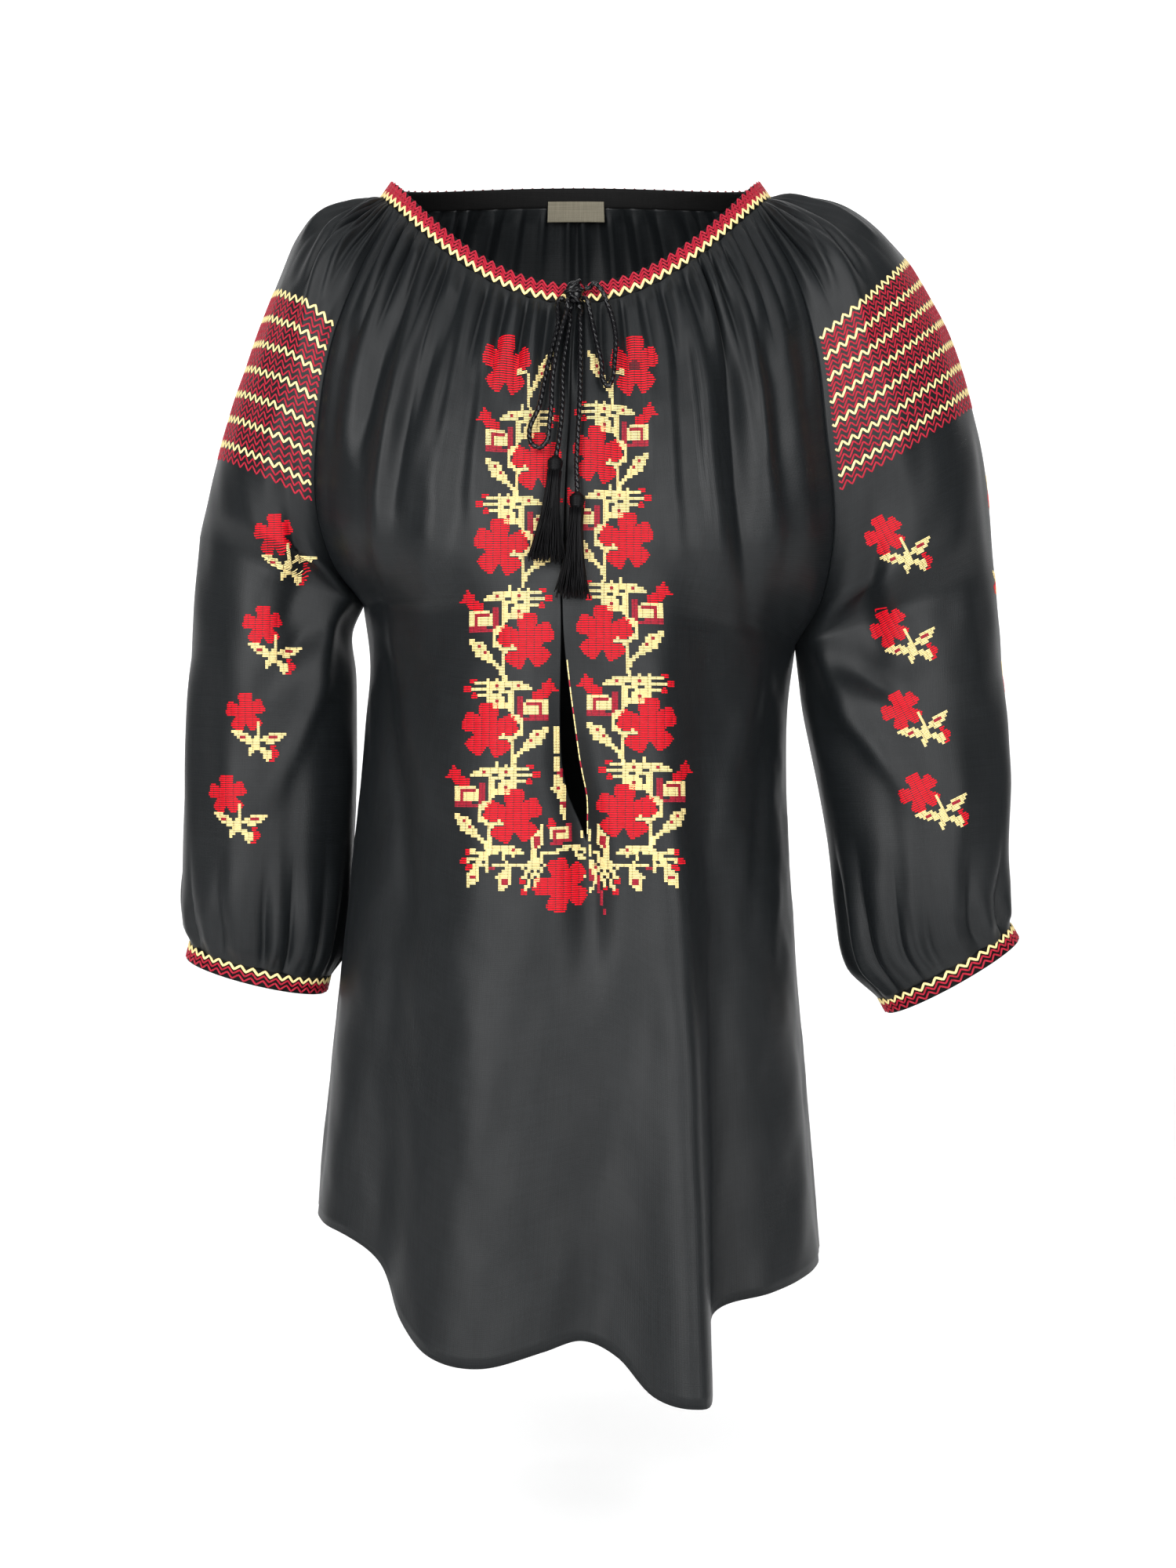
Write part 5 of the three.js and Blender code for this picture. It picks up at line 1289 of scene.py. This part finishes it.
def sleeve_zigzags(side):
    """Seven cream rows with three crimson ones between each two and two below, from seam to seam."""
    panel = panels[side]
    (edge_first, edge_last), (mid_first, mid_last) = SLEEVE_BANDS[side]
    last_cream = SLEEVE_ROWS - 1 - (SLEEVE_ROWS - 1) % ROWS_FROM_CREAM_TO_CREAM
    t = np.linspace(0, 1, 600)
    parts = {}
    for row in range(SLEEVE_ROWS):
        k = row / last_cream
        base_s = mix(mix(edge_first, edge_last, k), mix(mid_first, mid_last, k), np.sin(np.pi * t) ** 2)
        place, _ = on_cloth(panel, mix(PLAIN_EDGE, 1 - PLAIN_EDGE, t), base_s)
        run = run_along(place)
        waves = round(run[-1] / ZIGZAG_PITCH)
        share = np.interp(np.linspace(0, run[-1], waves * WAVE_POINTS + 1), run, t)
        s = np.interp(share, t, base_s)
        q = mix(PLAIN_EDGE, 1 - PLAIN_EDGE, share)
        below, _ = on_cloth(panel, q, s + 0.01)
        here, _ = on_cloth(panel, q, s)
        per_mm = 0.01 / np.linalg.norm(below - here, axis=-1)
        wave = zigzag(np.linspace(0, waves, waves * WAVE_POINTS + 1))
        points, normals = on_cloth(panel, q, s + SLEEVE_WAVE * wave * per_mm)
        colour = "crimson" if row % ROWS_FROM_CREAM_TO_CREAM else "cream"
        line, out = (points + normals * LIFT)[None], normals[None]
        rings = ribbon(line, out, ZIGZAG_THREAD[colour], SLEEVE_THREAD_HEIGHT)
        parts.setdefault(colour, []).append(ribbon_mesh(rings))
    for colour, meshes in parts.items():
        thread_piece("sleeve_" + side + "_zigzag_" + colour, meshes, colour)


for side in SIGN:
    sleeve_zigzags(side)


# ---------- Flowers and vine ----------
SQUARE = 1.8  # side of a charted square, which holds two rows of thread
SATIN_ROW = 1.3  # spacing of the flowers' rows of satin stitch
SATIN_WIDTH, VINE_WIDTH = 1.118, 0.846  # of the threads
REACH = 4.5  # longest single stitch
CHART_HALF = 38  # squares from a chart's middle to its edges
PETALS = np.radians([88, 24, -50, -121, 166])  # the way that each petal points


def shapes(rows):
    """A chart's shapes, in squares round a motif's middle. Each runs from a to b with its width at a, half
    way and at b, and a shape given a single width keeps it all along."""
    full = [row if len(row) == 7 else (*row, *row[4:] * 2) for row in rows]
    return table("ax az bx bz start middle end", full)


# What stands over a flower of the vine: the vine past it, a leaf, a spray of buds, a small leaf and a
# bird-like bud. Marks are crimson squares that part the cream.
ABOVE_FLOWER = {
    "cream": shapes([
        (-2.2, 16.6, -3, 14.4, 1.4, 1.4, 1.6), (-3.8, 14.4, -1.4, 14.4, 2.6, 2.8, 2.6),
        (-3.4, 12.6, -6.9, 12.4, 1.3), (-6.9, 12.4, -6.9, 7, 1.3), (-6.9, 7, -8.2, 4.5, 1.3),
        (-8.2, 4.5, -10.5, 2.7, 1.4, 1.5, 2), (-10.5, 2.7, -10.3, -0.8, 1.8, 1.3, 1.3),
        (-10.3, -0.8, -7.3, -3.2, 1.4), (-4.8, 15.2, -13.6, 13.8, 0.9, 4, 0.7), (-5, 15.4, -5.1, 17.2, 0.9),
        (-0.5, 14.5, 1.5, 15.5, 0.9), (1.5, 15.5, 4, 15.5, 0.9, 0.9, 1.3),
        (-0.5, 13.5, 5.6, 13.5, 0.9, 0.9, 1.3), (-0.5, 12.5, 1.5, 11.5, 0.9),
        (1.5, 11.5, 3.8, 11.5, 0.9, 0.9, 1.2), (0.2, 12.6, 0.5, 9.8, 1), (0.3, 14.5, 0.9, 16.4, 0.9),
        (-5, 8.2, -0.9, 10.6, 2, 4.6, 2.4), (-16.3, 7.6, -14.1, 7.4, 5.6, 5.8, 5.6),
    ]),
    "crimson": shapes([(-10.3, 4.8, -10.3, 9.8, 2), (-18, 3.9, -11.4, 3.5, 1.8)]),
    "red": shapes([
        (5.1, 16.1, 5.4, 16.1, 2), (7.1, 13.5, 7.5, 13.5, 2.2), (5, 11.3, 5.3, 11.3, 1.8),
        (-15.4, 11.1, -18, 12.2, 3, 3.4, 3), (-18.6, 13.6, -19.6, 14, 3.4, 3.6, 3.2),
        (-19.2, 15.4, -19.6, 16.6, 2, 1.6, 1), (-20.6, 13.3, -22, 12.8, 1.6, 1.3, 1),
    ]),
    "marks": shapes([
        (-16.5, 8.5, -12.6, 8.5, 1.1), (-16.5, 8.5, -16.5, 5.5, 1.1), (-9.5, 14.5, -9.2, 14.5, 1),
        (-2.7, 9.5, -2.4, 9.5, 1.5), (-2.6, 14.5, -2.3, 14.5, 1.5),
    ]),
}
# A flower with the hook and stem that hold it and the long leaf below.
FLOWER_AND_STEM = {
    "flower": (0, 0, 9, 0),
    "cream": shapes([
        (-7.3, -3, -4.2, -2.2, 1.6, 1.4, 1.6), (-7.3, -3, -7.3, -12.4, 1.4, 1.3, 1.3),
        (-8, -10.4, -9.8, -7.2, 1.3, 1.2, 1.2), (-9.4, -7.8, -14, -4, 1.3, 1.8, 2.6),
        (-12, -5.6, -19, 0.9, 1.8, 4.2, 0.7),
    ]),
    "marks": shapes([(-15.5, -1.5, -15.3, -1.5, 1), (-13.4, -3.5, -13.2, -3.5, 1)]),
}
TOP_FLOWER = {
    "flower": (0, 0, 9, 0),
    "cream": shapes([
        (-7.6, -2.7, -5, -1.8, 1.6, 1.4, 1.6), (-8.3, -3.6, -8.3, -12.2, 1.4, 1.3, 1.3),
        (-9, -9.4, -10.6, -6.4, 1.3, 1.2, 1.3), (-10.2, -7, -13.4, -2.2, 1.3, 1.8, 2.6),
        (-12, -4.4, -17.4, 3.6, 1.8, 4.2, 0.7),
    ]),
    "marks": shapes([(-14.6, -0.5, -14.4, -0.5, 1, 1.1, 1), (-13.4, -2.5, -13.2, -2.5, 1, 1.1, 1)]),
}
# The eye in the middle of the top right flower.
EYE = {"dark_red": shapes([(-1.6, 0.4, 1.6, 0.4, 1.8, 4.4, 1.8)])}
# The left half of the spray across the bottom, from the panel's middle line, and what only one half has.
BOTTOM_HALF = {
    "cream": shapes([
        (-25.4, 15, -25.2, 11.5, 1.3), (-25.8, 11.4, -22.6, 11.8, 2, 2.4, 2.4),
        (-22.6, 12.2, -14.9, 10.1, 0.9, 3.6, 0.7), (-21.5, 10, -20.8, 7.4, 1.1),
        (-24.2, 6.5, -15.8, 6.3, 1.1), (-15.8, 6, -11.9, 7.8, 1.3), (-26.6, 10.4, -26.3, 4.6, 1.3),
        (-27, 10, -31.2, 11, 1.2, 1.1, 1.4), (-27, 9.4, -32.4, 8, 1.1, 1.1, 1.4),
        (-27.3, 8.8, -30.8, 6.4, 1.1, 1, 1.3), (-27.8, 7, -29.8, 5.2, 1, 1, 1.2),
        (-29.6, 5.6, -32.6, -0.8, 1.6, 4, 0.7), (-19.6, 5.8, -22.6, -2, 1.6, 5, 0.8),
        (-11.8, 7.8, -12.2, 11.4, 1.3, 1.2, 1.4), (-12.4, 11, -10, 17.2, 1.6, 4.4, 1.2),
        (-9.8, 16.6, -9.3, 19.8, 1.2, 1, 0.8), (-11.8, 8.2, -9.4, 8.4, 1.3, 1.2, 1.2),
        (-9.4, 8.4, -9.4, 10.4, 1.2), (-9.4, 10.4, -6.8, 10.4, 1.2), (-6.8, 10.2, -2, 12, 1.2, 1.4, 1.3),
        (-2, 12, 0.4, 12.4, 1.3, 1.4, 1.4), (-10.2, 8, -13.9, 4.6, 1.2, 1, 1),
        (-13.9, 4.6, -15.2, 2.4, 1, 1.1, 1.3), (-9.6, 7.6, -13, 2, 1.1, 1, 1),
        (-13, 2, -14.3, -1, 1, 1.1, 1.3), (-8.8, 6.6, -11.6, 0, 1.1, 1, 1.3),
    ]),
    "red": shapes([
        (-32.6, 10.7, -32.3, 10.7, 2.2), (-34.2, 7.7, -33.8, 7.7, 2.3), (-32.3, 5.6, -32, 5.6, 2),
        (-15.8, 1.2, -15.5, 1.2, 1.8), (-15.2, -2.4, -14.8, -2.4, 2), (-11.9, -1.2, -11.6, -1.2, 1.7),
    ]),
    "marks": shapes([
        (-24.6, 11, -24.4, 11, 1), (-18.4, 11.3, -18.1, 11.3, 1), (-25.4, 5.5, -25.2, 5.5, 1.5),
        (-31.4, 2.5, -31.2, 2.5, 1.5), (-21.4, 1.4, -21.2, 1.4, 2), (-11.5, 13, -11, 15.4, 1.9, 1.9, 1.2),
    ]),
}
BOTTOM_MIDDLE = {
    "flower": (-2.8, -0.2, 8.8, 16),
    "cream": shapes([
        (0.4, 12.4, 2.1, 9.2, 1.4, 1.3, 1.3), (2.1, 9.2, 6.8, 8.2, 1.3, 1.3, 1.4),
        (6.6, 8, 6.4, 13, 1.3, 1.2, 1.2), (6.4, 12.6, 3.6, 20.4, 1.4, 4, 0.7),
        (6.9, 7.4, 6.8, -2.8, 1.4, 5, 0.8), (-4.6, 16.8, -3.6, 17, 4.6),
    ]),
    "crimson": shapes([
        (7.9, 6.6, 11.6, -9.6, 1.8, 1.3, 0.5), (-6.4, 13.6, -1.6, 14.6, 1.4), (-1, 15, -1, 19, 1.4),
    ]),
    "red": shapes([(-6.2, 19.4, -6.8, 21, 2.8, 2.8, 1.4)]),
    "marks": shapes([
        (-5.4, 16.8, -5.4, 15, 0.9), (-5.4, 17.4, -2.8, 17.6, 0.9), (5.2, 15, 5, 17, 1.4, 1.6, 1.2),
        (6.8, 1.4, 6.8, 4, 1.6, 1.6, 1.2),
    ]),
}
# Bits of the same embroidery that show on the lip of the slit's left side.
SLIT_LIP = {
    "cream": shapes([
        (-4.9, 14, -5, 7, 1.4, 2.4, 1.6), (-5.3, 4.4, -5, 0.6, 2, 2.6, 1.6),
        (-4.9, -1.5, -3.4, -9, 2, 4.8, 2), (-3.2, -12, -2.4, -15, 1.4, 1.8, 1.2),
    ]),
    "crimson": shapes([
        (-4.4, 6, -4.2, 4.8, 1.6, 1.8, 1.6), (-4.2, 0, -4, -1.4, 1.6, 1.8, 1.6),
        (-3.2, -9.6, -2.8, -11.6, 2, 2, 1.6),
    ]),
    "marks": shapes([(-5, -4.5, -4.6, -6, 0.9, 1.1, 0.9)]),
}
SPRIG = {
    "flower": (0, 0, 6.7, 0),
    "cream": shapes([
        (4.6, -3.2, 4, -10.4, 1.4, 1.3, 1.5), (3.4, -10.4, -5, -6.4, 1.3, 3.6, 0.7),
        (5, -9.8, 13.6, -7.6, 1.2, 4, 1.2), (3.6, -10.4, 1.6, -13.8, 1.6, 1.4, 1.6),
        (3.8, -11.8, 8.2, -14.6, 1.4, 1.8, 2.2), (5.4, -13.2, 7.6, -16, 1, 1.2, 1.4),
    ]),
    "red": shapes([
        (9.3, -11.6, 9.5, -11.6, 1.7), (9.8, -14.2, 10.2, -14.2, 2.4), (8.8, -16.3, 9.1, -16.3, 2),
    ]),
    "marks": shapes([(-1.6, -8, -0.6, -8.2, 1), (9, -8.5, 10.2, -8.5, 1.1)]),
}


def charted(rows, x, z):
    """Which places lie in any shape: nearer its line, by the fourth-power measure, than half its width."""
    inside = np.zeros(np.broadcast(x, z).shape, bool)
    for ax, az, bx, bz, *widths in zip(*rows.values()):
        run = np.array([bx - ax, bz - az])
        t = np.clip(((x - ax) * run[0] + (z - az) * run[1]) / (run @ run), 0, 1)
        away = ((x - ax - t * run[0]) ** 4 + (z - az - t * run[1]) ** 4) ** 0.25
        inside |= away < np.interp(t, [0, 0.5, 1], widths) / 2
    return inside


def in_flower(x, z, turn=0):
    """Five petals round the middle of a flower of radius 1, each a rounded wedge that widens outwards."""
    x, z, petals = x[..., None], z[..., None], PETALS + np.radians(turn)
    out = x * np.cos(petals) + z * np.sin(petals)
    across = np.abs(x * np.sin(petals) - z * np.cos(petals)) / (0.24 + 0.17 * np.clip(out, 0, 1))
    along = np.abs(out - 0.55) / 0.47
    return (across**4 + along**4 < 1).any(axis=-1) | (np.hypot(x, z)[..., 0] < 0.36)


def stitch_runs(inside, row_pitch):
    """Each row's unbroken runs, parted at every longest stitch: starts, ends and heights in millimetres."""
    pitch, half = SQUARE / 2, CHART_HALF * SQUARE
    edge = np.diff(np.pad(inside, ((0, 0), (1, 1))).astype(int), axis=1)
    row, first = np.nonzero(edge > 0)
    start, end = first * pitch - half, np.nonzero(edge < 0)[1] * pitch - half
    from_k = np.floor(start / REACH + 0.01).astype(int)
    count = np.ceil(end / REACH - 0.01).astype(int) - from_k
    which = np.repeat(np.arange(len(row)), count)
    k = np.arange(len(which)) - np.repeat(np.cumsum(count) - count, count) + from_k[which]
    starts, ends = np.maximum(start[which], k * REACH), np.minimum(end[which], (k + 1) * REACH)
    return starts, ends, (row[which] + 0.5) * row_pitch - half


def worked(chart):
    """A chart's stitches by colour: the vine on squares of two rows, flowers and buds as wider satin rows."""
    nothing = shapes([(0, 0, 1, 0, 0)])
    middle = np.arange(-CHART_HALF + 0.5, CHART_HALF)
    mark, cream, crimson, eye = (
        charted(chart.get(key, nothing), middle[None, :], middle[:, None])
        for key in ("marks", "cream", "crimson", "dark_red"))
    leafy = cream & ~mark
    layers = {"cream": leafy, "crimson": mark | crimson & ~leafy, "dark_red": eye}
    done = {key: stitch_runs(layer.repeat(2, 0).repeat(2, 1), SQUARE / 2) for key, layer in layers.items()}
    rows = (np.arange(int(2 * CHART_HALF * SQUARE / SATIN_ROW)) + 0.5) * SATIN_ROW / SQUARE - CHART_HALF
    x, z = np.meshgrid(np.arange(-CHART_HALF + 0.25, CHART_HALF, 0.5), rows)
    fx, fz, radius, turn = chart.get("flower", (0, 0, 1e-6, 0))
    petals = in_flower((x - fx) / radius, (z - fz) / radius, turn) | charted(chart.get("red", nothing), x, z)
    square = [np.floor(v + CHART_HALF).astype(int) for v in (z, x)]
    done["red"] = stitch_runs(petals & ~(leafy | eye)[tuple(square)], SATIN_ROW)
    return done


def laid(pattern, flip=1, turn=0.0, tall=1.0):
    """A worked motif mirrored, turned and drawn out: places along each stitch, by colour, across and up."""
    c, n = np.cos(np.radians(turn)), np.sin(np.radians(turn))
    points = {}
    for colour, (start, end, height) in pattern.items():
        along, up = mix(col(start), col(end), EASE), col(height) * tall
        points[colour] = flip * (along * c - up * n), along * n + up * c
    return points


def sewn(name, panel, colour, q, s):
    """Stitches of one colour as low ribbons on a panel, a little narrower and lower at both ends."""
    points, normals = on_cloth(panel, q, s)
    width = SATIN_WIDTH if colour == "red" else VINE_WIDTH
    rings = ribbon(points + normals * LIFT, normals, width * ENDS_NARROW, STITCH_HEIGHT * ENDS_LOW)
    thread_piece(name + "_" + colour, [ribbon_mesh(rings)], colour)


# The flowers down each column of the front, and on which side of the vine each lies.
COLUMN_LEFT = [
    (-39.6, -128.5, -1), (-21.1, -187.7, 1), (-42.4, -238.7, -1),
    (-27.1, -294.2, 1), (-48.9, -346.6, -1), (-34.5, -397.5, 1),
]
COLUMN_RIGHT = [
    (36.8, -128.5, 1), (14.6, -184.0, -1), (31.7, -235.0, 1),
    (18.3, -289.6, -1), (42.8, -343.8, 1), (30.8, -394.7, -1),
]
# How narrow and how tall the gathers make each row of flowers look.
ROW_ACROSS, ROW_TALL = [0.87, 0.89, 0.97, 1, 1, 1], [1.14, 1.07, 1.04, 1.02, 1, 1]
SPRAY_MIDDLE = (-1.2, -438.2)
LIP_MIDDLE = (-1.2, -371.6)
# The stitches down the slit's right lip: s of the first and last, how many, the length in s, and their q.
LIP_FROM, LIP_TO, LIP_STITCHES, LIP_LENGTH, LIP_Q = 1.07, 1.3, 26, 0.009, 0.5045


def front_embroidery():
    """The two columns of the vine, then the spray across the bottom and the bits on the slit's lip."""
    flower, above = worked(FLOWER_AND_STEM), worked(ABOVE_FLOWER)
    patterns = []
    for column, top in ((COLUMN_LEFT, TOP_FLOWER), (COLUMN_RIGHT, {**TOP_FLOWER, **EYE})):
        for row, (x, z, flip) in enumerate(column):
            fit = x, z, flip * ROW_ACROSS[row], ROW_TALL[row]
            patterns += [(flower, *fit), (above, *fit)] if row else [(worked(top), *fit)]
    patterns += [(worked(BOTTOM_HALF), *SPRAY_MIDDLE, flip, 1) for flip in (1, -1)]
    patterns += [(worked(BOTTOM_MIDDLE), *SPRAY_MIDDLE, 1, 1), (worked(SLIT_LIP), *LIP_MIDDLE, 1, 1)]
    for colour in EMBROIDERY:
        spread = [np.stack(laid(pattern, flip, tall=tall)[colour]) + [[[x]], [[z]]]
                  for pattern, x, z, flip, tall in patterns]
        x, z = np.concatenate(spread, axis=1)
        at, s = front_place(x, z)
        shift, side = slit_shift(s), np.sign(at.mean(axis=1, keepdims=True) - 0.5)
        u = 0.5 + (at - 0.5 - side * shift) / (1 - 2 * shift)
        kept = (side * (u - 0.5) > 0).all(axis=1)
        sewn("front_embroidery", panels["front"], colour, even_again(u[kept]), s[kept])


def slit_edging():
    """A line of short stitches down the lip of the slit's right side, every fourth one crimson."""
    start = np.linspace(LIP_FROM, LIP_TO, LIP_STITCHES)[:, None]
    s = start + LIP_LENGTH * EASE
    q = LIP_Q + 0 * s
    red = np.arange(len(start)) % 4 == 3
    sewn("slit_edging", panels["front"], "crimson", q[red], s[red])
    sewn("slit_edging", panels["front"], "cream", q[~red], s[~red])


# Sprigs down the front of each sleeve, by where they show from the front, and how they are turned. A second
# row, mirrored, runs down the outer side at the heights given.
SPRIGS = {
    "left": table("x z", [(-184, -225), (-193, -280), (-204, -334), (-216, -385)]),
    "right": table("x z", [(191, -226), (195.4, -281), (202.7, -332.7), (213.4, -383.9)]),
}
SPRIG_TURN = {"left": 0, "right": 27}
OUTER_SPRIGS_Q = {"left": 0.4, "right": 0.545}
OUTER_SPRIGS_Z = {"left": (-200, -254, -308, -360), "right": (-180, -240, -299, -353)}
SPRIG_SPAN = 0.04  # half the share of the panel over which a sprig's scale is taken


def upright_patch(panel, q, s):
    """Turns steps across and up the cloth into steps of q and s, for a motif that stands upright there."""
    near = np.array([-SPRIG_SPAN, SPRIG_SPAN, 0, 0])
    here, _ = on_cloth(panel, q + near, s + near[::-1])
    across, down = (here[1] - here[0]) / (2 * SPRIG_SPAN), (here[2] - here[3]) / (2 * SPRIG_SPAN)
    out = unit(np.cross(down, across))
    up = unit(np.array([0, 0, 1]) - out * out[2])
    right = np.cross(up, out)
    return np.linalg.inv([[across @ right, down @ right], [across @ up, down @ up]])


def sleeve_embroidery(side):
    """The row of sprigs down the sleeve's front, laid as it shows from there, and the outer, upright row."""
    panel, spots, sprig = panels[side], SPRIGS[side], worked(SPRIG)
    base = lambda u, s: sleeve_base(side, u, s)
    near_u = 0.5 - 0.2 * SIGN[side]
    outer_q, down_arm = OUTER_SPRIGS_Q[side], np.linspace(0.4, 1.9, 300)
    heights = on_cloth(panel, outer_q + 0 * down_arm, down_arm)[0][:, 2]
    rows = np.interp(-np.array(OUTER_SPRIGS_Z[side]), -heights, down_arm)
    x, z = (spots[key][:, None, None] for key in "xz")
    for colour in ("red", "crimson", "cream"):
        across, up = laid(sprig, 1, SPRIG_TURN[side])[colour]
        u, s = where_seen(base, x + across, z + up, near_u, 1.2)
        q, down = [even_again(u).reshape(-1, len(EASE))], [s.reshape(-1, len(EASE))]
        mirrored = laid(sprig, -1, SPRIG_TURN[side])[colour]
        for row in rows:
            step = np.tensordot(upright_patch(panel, outer_q, row), mirrored, 1)
            q.append(outer_q + step[0])
            down.append(row + step[1])
        sewn("sleeve_" + side + "_sprigs", panel, colour, np.concatenate(q), np.concatenate(down))


front_embroidery()
slit_edging()
for side in SIGN:
    sleeve_embroidery(side)

# ---------- Stage and light ----------
STAGE_GLOW = 0.28  # keeps the backdrop white
AROUND_LIGHT = 0.17
# The floor: its height, near and far ends, half width, the radius of its bend upwards, how high it runs on
# from there, and the shares of its length at which the bend begins and ends.
FLOOR_Z, FLOOR_FRONT, FLOOR_BACK, FLOOR_HALF, BEND_RADIUS, BACKDROP = -840, -4500, 700, 4000, 900, 3200
BEND_FROM, BEND_TO, FLOOR_ROWS = 0.4, 0.75, 41
# Area lights: place and size in metres, and watts.
LIGHTS = {
    "key": ((-1.2, -2.4, 0.35), (1.2, 1.9), 70),
    "fill": ((1.0, -2.45, 0.4), (1.2, 1.9), 54),
    "top": ((0, -0.3, 1.9), (2.0, 1.4), 10),
}
LIGHTS_AIM = np.array([0, 0, -0.35])


def add_stage():
    """A pale floor that sweeps up into a backdrop: flat, then a quarter of a circle, then straight up."""
    x = np.linspace(-FLOOR_HALF, FLOOR_HALF, 2)
    k = np.linspace(0, 1, FLOOR_ROWS)
    bend = np.clip((k - BEND_FROM) / (BEND_TO - BEND_FROM), 0, 1) * np.pi / 2
    upright = np.clip((k - BEND_TO) / (1 - BEND_TO), 0, 1)
    flat = mix(FLOOR_FRONT, FLOOR_BACK, k / BEND_FROM)
    y = np.where(k < BEND_FROM, flat, FLOOR_BACK + BEND_RADIUS * np.sin(bend))
    z = np.where(k < BEND_FROM, FLOOR_Z, FLOOR_Z + BEND_RADIUS * (1 - np.cos(bend)) + BACKDROP * upright)
    points = stacked(x[None, :] + 0 * y[:, None], y[:, None], z[:, None])[::-1]
    material, _, principled = shader("pale floor", (0.92, 0.92, 0.92), 0.9, Emission_Strength=STAGE_GLOW)
    principled.inputs["Emission Color"].default_value = (1, 1, 1, 1)
    floor = piece("floor", points, [grid_faces(FLOOR_ROWS, 2)], None, material)


def add_light(name, place, size, watts):
    """An area light turned towards the blouse."""
    data = bpy.data.lights.new(name, "AREA")
    data.shape = "RECTANGLE"
    data.size, data.size_y = size
    data.energy = watts
    light = bpy.data.objects.new(name, data)
    light.location = place
    aim = LIGHTS_AIM - place
    yaw = np.arctan2(aim[1], aim[0]) - np.pi / 2
    light.rotation_euler = (np.arccos(-aim[2] / np.linalg.norm(aim)), 0, yaw)
    bpy.context.scene.collection.objects.link(light)


def add_world():
    """Soft light from all round, which looks white where nothing stands before it."""
    world = bpy.data.worlds.new("studio")
    world.use_nodes = True
    tree = world.node_tree
    background, seen = tree.nodes["Background"], tree.nodes.new("ShaderNodeLightPath")
    background.inputs["Color"].default_value = (1, 1, 1, 1)
    strength = math_node(tree, "MAXIMUM", seen.outputs["Is Camera Ray"], AROUND_LIGHT)
    tree.links.new(strength, background.inputs["Strength"])
    bpy.context.scene.world = world
    bpy.context.scene.view_settings.view_transform = "Standard"


add_stage()
add_world()
for name, settings in LIGHTS.items():
    add_light(name, *settings)
